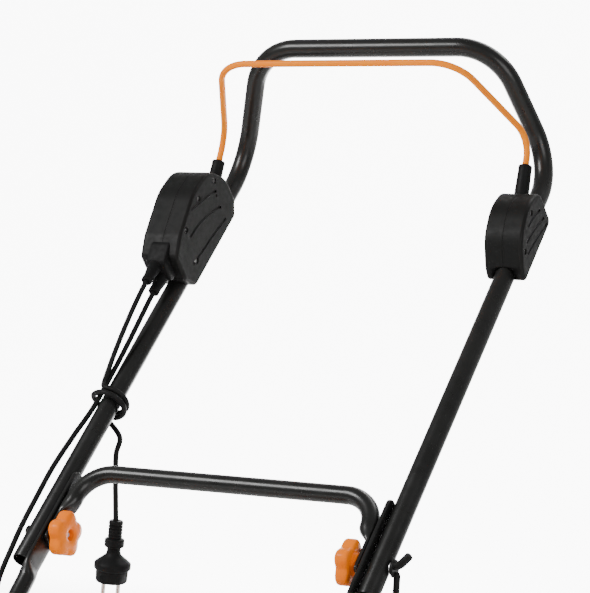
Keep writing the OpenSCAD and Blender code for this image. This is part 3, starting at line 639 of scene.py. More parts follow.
def rod(name, a, b, radius, sides=32):
    """A plain round cutter or pin."""
    return swept(name, [Vector(a), Vector(b)], radius, sides, rounding=0.0001)


def x_rod(name, x0, x1, y, z, radius, sides=32):
    """A rod that runs across the mower."""
    return rod(name, (x0, y, z), (x1, y, z), radius, sides)


# ---- upper handle
TOP_CORNER = Vector((0.150, BEND_Y - 0.054, BEND_Z + 0.137))


def mirrored(points):
    """The points of one side, then the same points of the other side in reverse."""
    return points + flipped(points[::-1], -1)


def handle_tube():
    points = mirrored([leg_point(LEG_X, 0, LEG_LEN), leg_point(LEG_X, 0, 0), TOP_CORNER])
    path = bent(points, [0, 0.065, 0.065, 0.065, 0.065, 0])
    obj = swept("handle_tube", path, UPPER_R, 48, mouth=UPPER_R - TUBE_WALL)
    finish_piece(obj, "black_gloss_paint", "handle", "upper_handle_tube")


# ---- flattened tubes
def morph_section(k, width, thick, round_r, sides=40):
    """A flattened tube's section at k = 0, a full circle at k = 1."""
    k = k * k * (3 - 2 * k)
    w = width + (2 * round_r - width) * k
    t = thick + (2 * round_r - thick) * k
    return flat_section(w, t, sides, 4.5 - 2.5 * k)


def end_width(width, corner, t):
    """Width of a plate with rounded corners at a distance t from its end."""
    if t >= corner:
        return width
    return width - 2 * corner + 2 * math.sqrt(corner ** 2 - (corner - t) ** 2)


def plate_end(x, end, inwards, width, corner, depths):
    """Stations at a flattened tube's end, with its corners round and its rim thinner."""
    return [(leg_point(x, 0, end + inwards * t), 0, end_width(width, corner, t),
             FLAT_T * (0.75 if t == 0 else 1))
            for t in depths]


def flattened_tube(name, stations, node):
    """A skin through stations: point, 0 for flat to 1 for round, width and thickness of the flat."""
    axes = frames_along([station[0] for station in stations])
    rings = [place_ring(p, a, morph_section(k, w, t, LOWER_R)) for (p, k, w, t), a in zip(stations, axes)]
    finish_piece(loft(name, rings, 50), "black_gloss_paint", "chassis", node)


def lower_tube(side):
    x = side * LOWER_X
    top, flat_end, round_start = 0.520, 0.643, 0.060
    stations = plate_end(x, top, 1, FLAT_W, 0.009, (0, 0.0008, 0.002, 0.004, 0.0065, 0.009))
    stations += [(leg_point(x, 0, l), 0, FLAT_W, FLAT_T) for l in (0.56, 0.6, 0.63, flat_end)]
    start, finish = leg_point(x, 0, flat_end), lower_point(x, round_start)
    stations += [(start.lerp(finish, k), k, FLAT_W, FLAT_T) for k in (0.2, 0.4, 0.6, 0.8)]
    stations += [(lower_point(x, s), 1, FLAT_W, FLAT_T) for s in (round_start, 0.1, 0.25, LOWER_LEN)]
    flattened_tube(f"lower_tube_{hand(side)}_skin", stations, f"lower_tube_{hand(side)}")


def crossbar_tube():
    end, flat_top, round_top = 0.614, 0.575, 0.558
    corner_x, corner_off, corner_l, bend = 0.172, 0.010, 0.521, 0.036
    width = FLAT_W - 0.002
    half = plate_end(CROSS_X, end, -1, width, 0.003, (0, 0.0008, 0.002, 0.003, 0.006))
    half += [(leg_point(CROSS_X, 0, l), 0, width, FLAT_T) for l in (0.60, 0.585, flat_top)]
    start, turn = leg_point(CROSS_X, 0, flat_top), leg_point(corner_x, 0.006, round_top)
    half += [(start.lerp(turn, k), k, width, FLAT_T) for k in (0.2, 0.4, 0.6, 0.8)]
    corner = leg_point(corner_x, corner_off, corner_l)
    curve = bent([turn, corner, Vector((0, corner.y, corner.z))], [0, bend, 0])
    half += [(p, 1, width, FLAT_T) for p in curve[:-1]]
    stations = half + [(Vector((-p.x, p.y, p.z)), k, w, t) for p, k, w, t in half[::-1]]
    flattened_tube("crossbar_skin", stations, "crossbar")


# ---- bail
PIVOT_OFF, PIVOT_L = 0.024, 0.125
BOOT_LOW = Vector((LEG_X - 0.002, BEND_Y - 0.090, BEND_Z - 0.030))
BOOT_HIGH = Vector((LEG_X - 0.003, BEND_Y - 0.075, BEND_Z + 0.004))
BAIL_KINK = Vector((LEG_X - 0.004, BEND_Y - 0.061, BEND_Z + 0.035))
BAIL_CORNER = Vector((0.146, BEND_Y - 0.159, BEND_Z + 0.118))


def bail():
    pivot = leg_point(LEG_X - 0.002, PIVOT_OFF, PIVOT_L)
    start = pivot + (BOOT_LOW - pivot).normalized() * 0.0055
    points = mirrored([start, BOOT_LOW, BOOT_HIGH, BAIL_KINK, BAIL_CORNER])
    radii = [0, 0.060, 0.060, 0.032, 0.046, 0.046, 0.032, 0.060, 0.060, 0]
    finish_piece(swept("bail_wire", bent(points, radii), BAIL_R, 32), "orange_wire", "bail", "bail_lever")


def boot(side):
    """A rubber sleeve on the bail: a plain cone with a rolled rim."""
    low, high = flipped([BOOT_LOW, BOOT_HIGH], side)
    low = low - (high - low).normalized() * 0.008
    height = (high - low).length
    profile = [(BAIL_R + 0.00005, 0), (0.0080, 0), (0.0086, 0.0006), (0.0076, height - 0.0050),
               (0.0078, height - 0.0042), (0.0078, height - 0.0014), (0.0072, height - 0.0003),
               (0.0062, height),
               (0.0050, height - 0.0004), (BAIL_R + 0.00005, height - 0.0012)]
    obj = lathe(f"boot_{hand(side)}", profile, axis_matrix(low, high - low), 40)
    finish_piece(obj, "black_rubber", "bail", f"bail_boot_{hand(side)}")


# ---- boxes on the legs
SWITCH_OUTLINE = [(-5, 92), (10, 80), (44, 80), (80, 106), (84, 150), (66, 206), (52, 228), (18, 228),
                  (-5, 214)]
SWITCH_RADII = [6, 12, 40, 40, 60, 24, 8, 10, 8]
PIVOT_OUTLINE = [(44, 90), (54, 128), (40, 164), (10, 182), (-8, 185), (-7, 84)]
PIVOT_RADII = [20, 50, 40, 24, 6, 8]
SWITCH_OUTER_X, BOX_INNER_X, PIVOT_OUTER_X = 0.225, 0.176, 0.221


def in_metres(points):
    return [(a * MM, b * MM) for a, b in points]


def shell(name, outline, split_x, face_x, edge=0.0035):
    """Half of a box: a seam at its parting plane and a rounded edge round its outer face."""
    out = 1 if face_x > split_x else -1
    seam = 0.00035
    rings = [(split_x + out * 0.00003, seam), (split_x + out * seam, 0)]
    for k in range(7):
        t = math.pi / 2 * k / 6
        rings.append((face_x - out * edge * (1 - math.sin(t)), edge * (1 - math.cos(t))))
    rings.append((face_x, edge + 0.001))
    placed = [[leg_point(x, p.x, p.y) for p in inset_outline(outline, d)] for x, d in rings]
    return loft(name, placed, 35)


def groove(points, x, width=0.0034, depth=0.0018):
    """A cutter for a curved moulded groove on a face at x, through [l, off] points in millimetres."""
    path = smooth_curve([leg_point(x, off * MM, l * MM) for l, off in points], 8)
    axes = frames_along(path)
    section = flat_section(width, 2 * depth, 12, 2.5)
    return loft("groove", [place_ring(p, a, section) for p, a in zip(path, axes)], 0)


def recess(off, l, x, radius, depth, towards):
    """A cutter for a round recess on a face at x; towards is the way out of the box."""
    a = leg_point(x + towards * 0.002, off * MM, l * MM)
    b = leg_point(x - towards * depth, off * MM, l * MM)
    return rod("recess", a, b, radius, 28)


def box_cuts(side):
    """The leg's channel and the bail's slot, as cutters."""
    channel = rod("channel", leg_point(side * LEG_X, 0, 0), leg_point(side * LEG_X, 0, 0.3),
                  UPPER_R + 0.0001, 64)
    x = side * (LEG_X - 0.002)
    front = 0.0445 if side > 0 else 0.0465
    corners = [Vector(p) for p in ((0.0125, 0.060), (front, 0.060), (front, 0.106), (0.0125, 0.106))]
    slot = leg_slab("slot", rounded_outline(corners, [0.002] * 4, 3), x - 0.010, x + 0.010, 0)
    return channel, slot


SWITCH_RECESSES = [(61, 104, 3.6), (45, 112, 2.0), (61, 191, 3.6), (17, 195, 3.6), (17, 175, 1.6),
                   (70, 146, 3.6)]
SWITCH_GROOVES = [
    [(168, 72), (140, 63), (118, 55), (109, 49)],
    [(190, 49), (162, 47), (125, 35), (112, 27)],
    [(204, 20), (175, 17), (142, 14), (112, 9)],
]
PIVOT_SCREWS = [(41, 124), (20, 164)]
PIVOT_GROOVES = [
    [(102, 26), (120, 33), (141, 36)],
    [(98, 11), (125, 20), (155, 25)],
    [(96, 0), (128, 8), (161, 13)],
]


def box_half(name, outline, split_x, face_x, cutters):
    half = shell(name, outline, split_x, face_x)
    flat_faces(cut(half, *cutters))
    finish_piece(half, "black_plastic", "handle", name + "_shell")


def switch_box():
    outline = rounded_outline(in_metres(SWITCH_OUTLINE), [r * MM for r in SWITCH_RADII])
    details = [recess(off, l, -BOX_INNER_X, r * MM, 0.0040, 1) for off, l, r in SWITCH_RECESSES]
    details += [groove(points, -BOX_INNER_X) for points in SWITCH_GROOVES]
    box_half("switch_box_inner", outline, -LEG_X, -BOX_INNER_X, [*box_cuts(-1), *gland_cutters(), *details])
    details = [recess(45, 158, -SWITCH_OUTER_X, 0.0094, 0.012, -1)]
    details += [groove(points, -SWITCH_OUTER_X) for points in SWITCH_GROOVES[:1] + SWITCH_GROOVES[2:]]
    box_half("switch_box_outer", outline, -LEG_X, -SWITCH_OUTER_X,
             [*box_cuts(-1), *gland_cutters(), *details])


def pivot_box():
    outline = rounded_outline(in_metres(PIVOT_OUTLINE), [r * MM for r in PIVOT_RADII])
    details = [recess(off, l, PIVOT_OUTER_X, 0.0036, 0.0040, 1) for off, l in PIVOT_SCREWS]
    details += [groove(points, PIVOT_OUTER_X) for points in PIVOT_GROOVES]
    box_half("pivot_box_outer", outline, LEG_X, PIVOT_OUTER_X, [*box_cuts(1), *details])
    details = [groove(points, BOX_INNER_X) for points in PIVOT_GROOVES]
    box_half("pivot_box_inner", outline, LEG_X, BOX_INNER_X, [*box_cuts(1), *details])


# ---- glands
MAINS_GLAND = (-0.202, 0.047)
MOTOR_GLAND = (-0.199, 0.030)
GLANDS = (MAINS_GLAND, MOTOR_GLAND)
GLAND_START, GLAND_END, GLAND_R = 0.216, 0.264, 0.0058


def gland_cutters():
    return [rod("gland", leg_point(x, off, GLAND_START - 0.002), leg_point(x, off, GLAND_END),
                GLAND_R + 0.0001, 40)
            for x, off in GLANDS]


def glands():
    """Two rubber sleeves with open mouths, ringed by ribs where they leave the box."""
    sleeves = []
    for x, off in GLANDS:
        a, b = leg_point(x, off, GLAND_START), leg_point(x, off, GLAND_END)
        h = (b - a).length
        profile = [(CORD_R + 0.0001, 0.006), (0.0050, 0.006), (GLAND_R, 0.0066), (0.0078, 0.0068),
                   (0.0078, 0.022),
                   (0.0074, 0.030), (0.0064, h - 0.010), (0.0060, h - 0.0060), (0.0064, h - 0.0050),
                   (0.0064, h - 0.0012), (GLAND_R, h - 0.0004), (GLAND_R - 0.0006, h), (0.0041, h),
                   (0.0038, h - 0.0006),
                   (0.0036, h - 0.012), (CORD_R + 0.0001, h - 0.016)]
        sleeves.append(lathe("sleeve", profile, axis_matrix(a, b - a), 36))
    entry = [Vector(p) * MM for p in ((20, 198), (60, 198), (62, 216), (54, 238), (24, 240))]
    entry = rounded_outline(entry, [0.004, 0.005, 0.008, 0.006, 0.006], 5)
    rings = [[leg_point(x, p.x, p.y) for p in inset_outline(entry, d)]
             for x, d in ((-0.2125, 0.002), (-0.2115, 0.0005), (-0.2100, 0), (-0.1900, 0), (-0.1885, 0.0005),
                          (-0.1875, 0.002))]
    sleeves.append(loft("block", rings, 35))
    return assembled("gland_sleeves", sleeves, "black_rubber", "handle", "cable_glands")


def gland_cores():
    """The cables' ends inside the sleeves."""
    cores = [rod("core", leg_point(x, off, GLAND_START + 0.010), leg_point(x, off, GLAND_END), CORD_R, 20)
             for x, off in GLANDS]
    return finish_piece(joined("gland_cable_ends", cores), "cord_jacket", "handle")


# ---- knobs, bolts and hook
KNOB_FACE_X = 0.157
KNOB_BACK_X = CROSS_X - FLAT_T / 2 - BODY_GAP


def knob_radius(r, z, a):
    """Five rounded lobes on the rim; the middle stays round."""
    if r < 0.013:
        return r
    wave = 0.5 + 0.5 * math.cos(5 * (a - math.radians(20)))
    return r - 0.0052 * (1 - wave ** 0.8) * min(1, (r - 0.013) / 0.006)


def knob(side):
    base = leg_point(side * KNOB_FACE_X, 0, BOLT_L)
    h = KNOB_BACK_X - KNOB_FACE_X
    rim, body = 0.025, h - 0.004
    profile = [(0.0060, 0.0125), (0.0060, 0.0012), (0.0066, 0.0004),
               (0.0100, 0), (0.0160, 0.0002), (rim - 0.0025, 0.0010), (rim - 0.0008, 0.0022), (rim, 0.0042),
               (rim, body - 0.0028), (rim - 0.0007, body - 0.0010), (rim - 0.0022, body),
               (0.0160, body), (0.0135, body - 0.0004), (0.0122, body + 0.0004), (0.0120, h - 0.0006),
               (0.0114, h), (0.0033, h), (0.0033, 0.0125)]
    across = leg_point(0, 1, 0) - leg_point(0, 0, 0)
    down = leg_point(0, 0, 1) - leg_point(0, 0, 0)
    matrix = Matrix.Translation(base) @ Matrix((across, down, Vector((side, 0, 0)))).transposed().to_4x4()
    obj = lathe(f"star_knob_{hand(side)}", profile, matrix, 120, knob_radius, 50)
    finish_piece(obj, "orange_plastic", f"knob_{hand(side)}", f"knob_{hand(side)}")


BOLT_HEAD_X = LEG_X + UPPER_R + BODY_GAP


def bolts():
    """Round-headed zinc bolts through the clamps."""
    pieces = []
    for side in (-1, 1):
        base = leg_point(side * 0.161, 0, BOLT_L)
        shank = BOLT_HEAD_X - 0.161
        profile = [(0, 0), (0.0024, 0), (0.0030, 0.0006), (0.0030, shank), (0.0060, shank),
                   (0.0060, shank + 0.0009),
                   (0.0052, shank + 0.0018), (0.0034, shank + 0.0023), (0, shank + 0.0024)]
        pieces.append(lathe("bolt", profile, axis_matrix(base, (side, 0, 0), Vector((0, 1, 0))), 40))
    assembled("clamp_bolts", pieces, "zinc_steel", "chassis", "handle_bolts")


def hook():
    """Two curved prongs on a disc under the left bolt's head."""
    x = BOLT_HEAD_X + 0.0024
    disc = lathe("disc", [(0.0, 0.0), (0.0086, 0), (0.0090, 0.0004), (0.0090, 0.0024), (0.0084, 0.0030),
                          (0, 0.0030)],
                 axis_matrix(leg_point(x, 0, BOLT_L), (1, 0, 0), Vector((0, 1, 0))), 40)
    up = bent([leg_point(x + 0.0012, 0.004, BOLT_L), leg_point(x + 0.009, 0.006, BOLT_L),
               leg_point(x + 0.020, 0.015, BOLT_L - 0.006)], [0, 0.009, 0])
    down = bent([leg_point(x + 0.0024, -0.004, BOLT_L + 0.002), leg_point(x + 0.004, -0.006, BOLT_L + 0.004),
                 leg_point(x + 0.002, -0.034, BOLT_L + 0.027)], [0, 0.002, 0])
    upper = swept("upper", up, 0.0042, 28, Vector((0, 1, 0)), rounding=0.0016)
    lower = swept("lower", down, 0.0034, 28, Vector((0, 1, 0)), rounding=0.0012)
    assembled("cable_hook", [disc, upper, lower], "black_plastic", "chassis", "cord_hook")


# ---- free cord, its plug and the motor's cable
WRAP_R, WRAP_L, WRAP_PITCH, WRAP_STEPS = 0.0178, 0.404, 0.008, 8
CABLE_ANGLE, CABLE_LIFT = math.radians(137), 0.0036
MAINS_HEAD = [(-202, 47, 264), (-202, 46, 280), (-203, 42, 305), (-205, 35, 332), (-207, 27, 358),
              (-208, 20, 380),
              (-207, 17, 396)]
MAINS_TAIL = [(-181, 305, 591), (-185, 304, 571), (-186, 304, 543), (-186, 304, 517), (-186, 304, 491)]
PLUG_TOP = Vector((-0.186, 0.304, 0.491))
PLUG_TILT = math.radians(6)
CABLE_HEAD = [(-199, 30, 264), (-199, 29, 280), (-201, 24, 310), (-205, 16, 350), (-208, 11, 390),
              (-209, 9.5, 430),
              (-212, 11, 470), (-214, 13, 520), (-214, 12, 560), (-214, 10, 600), (-212, 8, 634)]
CABLE_TAIL = [(-212, 62), (-206, 90), (-201, 125), (-198, 165), (-197, 220), (-197, 290), (-197, 325)]
CABLE_RUN = [(-194, -109, 287), (-182, -160, 252), (-164, -207, 221), (-142, -252, 199), (-122, -290, 187),
             (-106, -312, 182)]


def leg_points(points):
    return [leg_point(x * MM, off * MM, l * MM) for x, off, l in points]


def mains_wrap():
    """The stretch wound round the leg, over the motor's cable."""
    points = []
    for i in range(2 * WRAP_STEPS - 2):
        a = math.radians(100) - 2 * math.pi * i / WRAP_STEPS
        r = WRAP_R + CABLE_LIFT * max(0, math.cos(a - CABLE_ANGLE)) ** 4
        points.append(leg_point(-LEG_X + r * math.cos(a), r * math.sin(a),
                                WRAP_L + WRAP_PITCH * i / WRAP_STEPS))
    return points


def plug_matrix():
    return (Matrix.Translation(PLUG_TOP) @ Matrix.Rotation(math.pi, 4, "X")
            @ Matrix.Rotation(-PLUG_TILT, 4, "Y"))


def plug():
    """A round two-pin plug: ribbed sleeve, collar, flange and grooved body."""
    profile = [(0, -0.0055), (CORD_R, -0.0060), (0.0070, -0.0060), (0.0076, -0.0054)]
    for k in range(5):
        z = -0.0040 + 0.0036 * k
        profile += [(0.0080, z), (0.0080, z + 0.0019), (0.0070, z + 0.0023), (0.0070, z + 0.0032)]
    profile += [(0.0080, 0.0142), (0.0104, 0.0148), (0.0110, 0.0156), (0.0110, 0.0224), (0.0104, 0.0234),
                (0.0080, 0.0244), (0.0076, 0.0256), (0.0077, 0.0290), (0.0086, 0.0322), (0.0125, 0.0355),
                (0.0170, 0.0390), (0.0198, 0.0414), (0.0205, 0.0426), (0.0205, 0.0474), (0.0200, 0.0484),
                (0.0184, 0.0494), (0.0181, 0.0510), (0.0176, 0.0610), (0.0172, 0.0624), (0.0160, 0.0635),
                (0, 0.0635)]
    place = plug_matrix()
    obj = lathe("plug", profile, place, 64)
    flats = [block("flat", (x, -0.0100, 0.051), (x + 0.0195, 0.0100, 0.071), place)
             for x in (-0.03555, 0.01605)]
    flats += [block("notch", (-0.0045, y, 0.054), (0.0045, y + 0.0050, 0.062), place)
              for y in (-0.0220, 0.0170)]
    cut(obj, *flats)
    smooth_by_angle(obj, 35)
    return finish_piece(obj, "black_rubber", "handle", "plug_body")


def pins():
    """Two round pins with rounded tips and a shoulder at the plug's face."""
    pieces = []
    for side in (-1, 1):
        profile = [(0, 0.0630), (0.0028, 0.0630), (0.0028, 0.0640), (0.0024, 0.0644), (0.0024, 0.0805),
                   (0.0021, 0.0816), (0.0014, 0.0823), (0, 0.0825)]
        place = plug_matrix() @ Matrix.Translation((side * 0.0095, 0, 0))
        pieces.append(lathe("pin", profile, place, 32))
    return assembled("plug_pin_pair", pieces, "nickel_pins", "handle", "plug_pins")


def cord_tube(name, path, sides=16):
    axes = frames_along(path)
    return loft(name, [place_ring(p, a, circle(CORD_R, sides)) for p, a in zip(path, axes)])


def mains_cord():
    """The free cord: out of its sleeve, wound round the leg, then hanging down to the plug."""
    route = leg_points(MAINS_HEAD) + mains_wrap() + [Vector(p) * MM for p in MAINS_TAIL]
    path = smooth_curve(route, 6)
    obj = cord_tube("mains_flex", path)
    finish_piece(obj, "cord_jacket", "handle", "mains_cord")


def motor_cable():
    """One cable along the leg, past the fold and down to the motor."""
    route = leg_points(CABLE_HEAD)
    route += [lower_point(x * MM, s * MM, 0.006) for x, s in CABLE_TAIL]
    route += [Vector(p) * MM for p in CABLE_RUN]
    obj = cord_tube("motor_cable", smooth_curve(route, 6))
    finish_blend(obj, "cord_jacket", leg_points(CABLE_HEAD)[-2], lower_point(-0.209, 0.075, 0.006),
                 "motor_cable_upper", "motor_cable_lower")


# ---- deck
DECK_FRONT, DECK_REAR, DECK_WALL = -0.6305, -0.110, 0.0035
CHAMBER_R, TUNNEL_X = 0.178, 0.088
EAR_IN, EAR_OUT = 0.0888, 0.0952
FRONT_AXLE_Y, FRONT_R = -0.550, 0.075
REAR_AXLE_Y, REAR_R = -0.135, 0.090
FLAP_Y, FLAP_Z = -0.103, 0.146


def deck_outline(d=0.0):
    """The deck's plan, moved inwards by d: a nose, straight sides and a round bulge beside the blade."""
    r = CHAMBER_R - d
    nose = Vector((0.110, DECK_FRONT + 0.040))
    half = [nose + (0.040 - d) * Vector((math.cos(t), math.sin(t)))
            for t in (math.radians(-90 + 9 * k) for k in range(11))]
    front_x, rear_x = 0.150 - d, 0.156 - d
    start, stop = -math.acos(front_x / r), math.acos(rear_x / r)
    half += [Vector((0, AXIS_Y)) + r * Vector((math.cos(t), math.sin(t)))
             for t in (start + (stop - start) * k / 24 for k in range(25))]
    rear = Vector((rear_x - 0.010, DECK_REAR - d - 0.010))
    half += [rear + 0.010 * Vector((math.cos(t), math.sin(t)))
             for t in (math.radians(15 * k) for k in range(7))]
    return half + [Vector((-p.x, p.y)) for p in half[::-1]]


def deck():
    """The cutting deck: a hollow shell with a rounded shoulder, lip, ribs, bosses and discharge tunnel."""
    rings = [(0.0035, RIM_Z), (0, RIM_Z), (-0.0025, RIM_Z + 0.0012), (-0.0028, RIM_Z + 0.004),
             (-0.0012, RIM_Z + 0.006), (0, RIM_Z + 0.008)]
    shoulder = 0.014
    for k in range(9):
        t = math.pi / 2 * k / 8
        rings.append((shoulder * (1 - math.cos(t)), DECK_TOP - shoulder * (1 - math.sin(t))))
    shell_rings = [[Vector((p.x, p.y, z)) for p in deck_outline(d)] for d, z in rings]
    obj = loft("deck", shell_rings, 30)
    inner = [[Vector((p.x, p.y, z)) for p in deck_outline(d)]
             for d, z in ((DECK_WALL, RIM_Z - 0.002), (DECK_WALL, DECK_TOP - 0.014),
                          (0.012, DECK_TOP - 0.0045))]
    cut(obj, loft("hollow", inner, 0))
    for part in deck_parts():
        cut(obj, part, operation="UNION")
    cut(obj, *deck_cutters())
    smooth_by_angle(obj, 32)
    finish_piece(obj, "deck_plastic", "chassis", "deck_shell")


def deck_parts():
    """What is added to the deck's shell: chamber wall, tunnel walls, ribs, bosses, ears and tube sockets."""
    parts = []
    at = Matrix.Translation((0, AXIS_Y, 0))
    parts.append(lathe("chamber", [(0.168, RIM_Z + 0.001), (0.1715, RIM_Z + 0.001),
                                   (0.1715, DECK_TOP - 0.003),
                                   (0.168, DECK_TOP - 0.003)], at, 96))
    for side in (-1, 1):
        x = sorted((side * TUNNEL_X, side * (TUNNEL_X + DECK_WALL)))
        parts.append(block("tunnel", (x[0], AXIS_Y + 0.142, RIM_Z + 0.0005),
                           (x[1], DECK_REAR - 0.001, 0.146)))
        for rib in (0.030, 0.062, 0.094, 0.126):
            low = (side * rib - 0.0022, DECK_FRONT + 0.012, 0.140)
            parts.append(block("rib", low, (low[0] + 0.0044, AXIS_Y - 0.136, DECK_TOP + 0.004)))
        parts.append(x_rod("front_boss", side * 0.118, side * 0.1585, FRONT_AXLE_Y, FRONT_R, 0.012, 40))
        parts.append(x_rod("rear_boss", side * 0.089, side * 0.1625, REAR_AXLE_Y, REAR_R, 0.013, 40))
        x = side * LOWER_X
        parts.append(rod("socket", lower_point(x, LOWER_LEN - 0.070), lower_point(x, LOWER_LEN + 0.004),
                         0.0135, 48))
        parts.append(deck_bracket(side))
        parts.append(x_rod("ear", side * EAR_IN, side * EAR_OUT, FLAP_Y, FLAP_Z, 0.0052, 28))
        x = sorted((side * EAR_IN, side * EAR_OUT))
        parts.append(block("ear_foot", (x[0], DECK_REAR - 0.004, 0.1412), (x[1], FLAP_Y, 0.1488)))
    return parts


def deck_bracket(side):
    """The web that carries a lower tube's socket, clear of the rear wheel."""
    top, end = lower_point(0, LOWER_LEN - 0.070), lower_point(0, LOWER_LEN)
    web = [(end.y - 0.030, 0.147), (end.y - 0.012, end.z + 0.004), (top.y - 0.004, top.z + 0.004),
           (top.y + 0.008, top.z - 0.008), (DECK_REAR, 0.190), (DECK_REAR - 0.002, 0.147)]
    web = rounded_outline(web, [0.006, 0.010, 0.004, 0.006, 0.010, 0.002], 4)
    rings = [[Vector((side * x, p.x, p.y)) for p in inset_outline(web[::-1], d)]
             for x, d in ((0.140, 0.002), (0.1412, 0.0006), (0.143, 0), (0.169, 0), (0.1715, 0.0015))]
    obj = loft("bracket", rings, 30)
    x = sorted((side * 0.161, side * 0.181))
    cut(obj, block("wheel_room", (x[0], -0.240, 0.100), (x[1], -0.030, 0.186)))
    window = [(-0.160, 0.166), (-0.150, 0.205), (-0.124, 0.226), (-0.122, 0.190), (-0.122, 0.166)]
    window = rounded_outline(window, [0.006] * 5, 4)
    x = (side * 0.1365, side * 0.1475)
    cut(obj, loft("window", [[Vector((v, p.x, p.y)) for p in window] for v in x], 0))
    return obj


def deck_cutters():
    cutters = [block("tunnel_air", (-TUNNEL_X, AXIS_Y, 0.045), (TUNNEL_X, DECK_REAR + 0.003, 0.134)),
               rod("shaft_hole", (0, AXIS_Y, 0.120), (0, AXIS_Y, 0.170), 0.020, 40),
               x_rod("front_axle_hole", -0.17, 0.17, FRONT_AXLE_Y, FRONT_R, 0.00405, 32),
               x_rod("hinge_hole", -0.10, 0.10, FLAP_Y, FLAP_Z, 0.00255, 20)]
    for side in (-1, 1):
        cutters.append(x_rod("rear_axle_hole", side * 0.099, side * 0.170, REAR_AXLE_Y, REAR_R, 0.00505, 32))
        x = side * LOWER_X
        cutters.append(rod("socket_bore", lower_point(x, LOWER_LEN - 0.072), lower_point(x, LOWER_LEN),
                           0.00955, 48))
        p = lower_point(x, LOWER_LEN - 0.035)
        cutters.append(x_rod("screw_hole", side * 0.155, side * 0.206, p.y, p.z, 0.00305, 24))
    return cutters


# ---- motor cover and carrying handle
def motor_cover():
    """A stepped hood with a ring of cooling slots and a flange screwed to the deck."""
    outside = [(0.128, 0.150), (0.128, 0.1528), (0.1268, 0.154), (0.1212, 0.154), (0.1200, 0.1552),
               (0.1200, 0.164),
               (0.1185, 0.176), (0.1160, 0.196), (0.1125, 0.222), (0.1100, 0.231), (0.1040, 0.246),
               (0.0960, 0.2605),
               (0.0900, 0.2650), (0.0740, 0.2735), (0.0680, 0.2755), (0.0400, 0.2785), (0.0380, 0.2772),
               (0.0360, 0.2785), (0, 0.2800)]
    inside = [(0, 0.2770), (0.068, 0.2725), (0.090, 0.2615), (0.109, 0.222), (0.1175, 0.160), (0.1175, 0.150)]
    obj = lathe("motor_hood", outside + inside, Matrix.Translation((0, AXIS_Y, 0)), 128)
    slots = []
    for k in range(28):
        a = 2 * math.pi * (k + 0.5) / 28
        if abs(math.cos(a)) < 0.28:
            continue
        u = Vector((math.cos(a), math.sin(a), 0))
        across = Vector((-u.y, u.x, 0)) * 0.0027
        centre = Vector((0, AXIS_Y, 0))
        low, high = centre + u * 0.1075 + Vector((0, 0, 0.226)), centre + u * 0.084 + Vector((0, 0, 0.2655))
        out = Vector((u.x, u.y, 0.9)).normalized() * 0.008
        ring = [[p + s * out + t * across for s, t in ((-1, -1), (1, -1), (1, 1), (-1, 1))]
                for p in (low, high)]
        slots.append(loft("slot", ring, 0))
    cut(obj, joined("slots", slots))
    a, b = Vector(CABLE_RUN[4]) * MM, Vector(CABLE_RUN[5]) * MM
    cut(obj, rod("cable_hole", a, b + Vector((0.020, 0.030, -0.004)), CORD_R + 0.0008, 28))
    screw_holes = [rod("screw_hole", (0.124 * math.cos(t), AXIS_Y + 0.124 * math.sin(t), 0.148),
                       (0.124 * math.cos(t), AXIS_Y + 0.124 * math.sin(t), 0.160), 0.0019, 20)
                   for t in (math.radians(45 + 90 * k) for k in range(4))]
    cut(obj, *screw_holes)
    smooth_by_angle(obj, 32)
    finish_piece(obj, "black_plastic", "chassis", "motor_cover")


def hood_lining():
    """A dark mesh screen behind the cooling slots."""
    profile = [(0.0, 0.2710), (0.060, 0.2690), (0.085, 0.2580), (0.103, 0.2260), (0.1015, 0.2255),
               (0.084, 0.2560),
               (0.0595, 0.2670), (0.0, 0.2690)]
    obj = lathe("hood_screen", profile, Matrix.Translation((0, AXIS_Y, 0)), 96)
    finish_piece(obj, "black_plastic", "chassis")


def carrying_handle():
    foot, top = 0.262, 0.316
    rear, front = AXIS_Y + 0.072, AXIS_Y - 0.072
    path = bent([(0, front, foot), (0, front, top), (0, rear, top), (0, rear, foot)], [0, 0.022, 0.022, 0])
    bar = swept("bar", path, 0.0088, 40)
    rings = []
    for k in range(13):
        y = AXIS_Y - 0.042 + 0.007 * k
        profile = [(0.0086, -0.0018), (0.0090, -0.0010), (0.0090, 0.0010), (0.0086, 0.0018)]
        rings.append(lathe("rib", profile, axis_matrix(Vector((0, y, top)), (0, 1, 0)), 40))
    for y in (front, rear):
        profile = [(0.0084, 0.006), (0.0150, 0.0), (0.0160, 0.004), (0.0130, 0.010), (0.0104, 0.0150),
                   (0.0088, 0.0200)]
        rings.append(lathe("foot", profile, Matrix.Translation((0, y, foot)), 40))
    assembled("carrying_bar", [bar] + rings, "black_plastic", "chassis", "carry_handle")


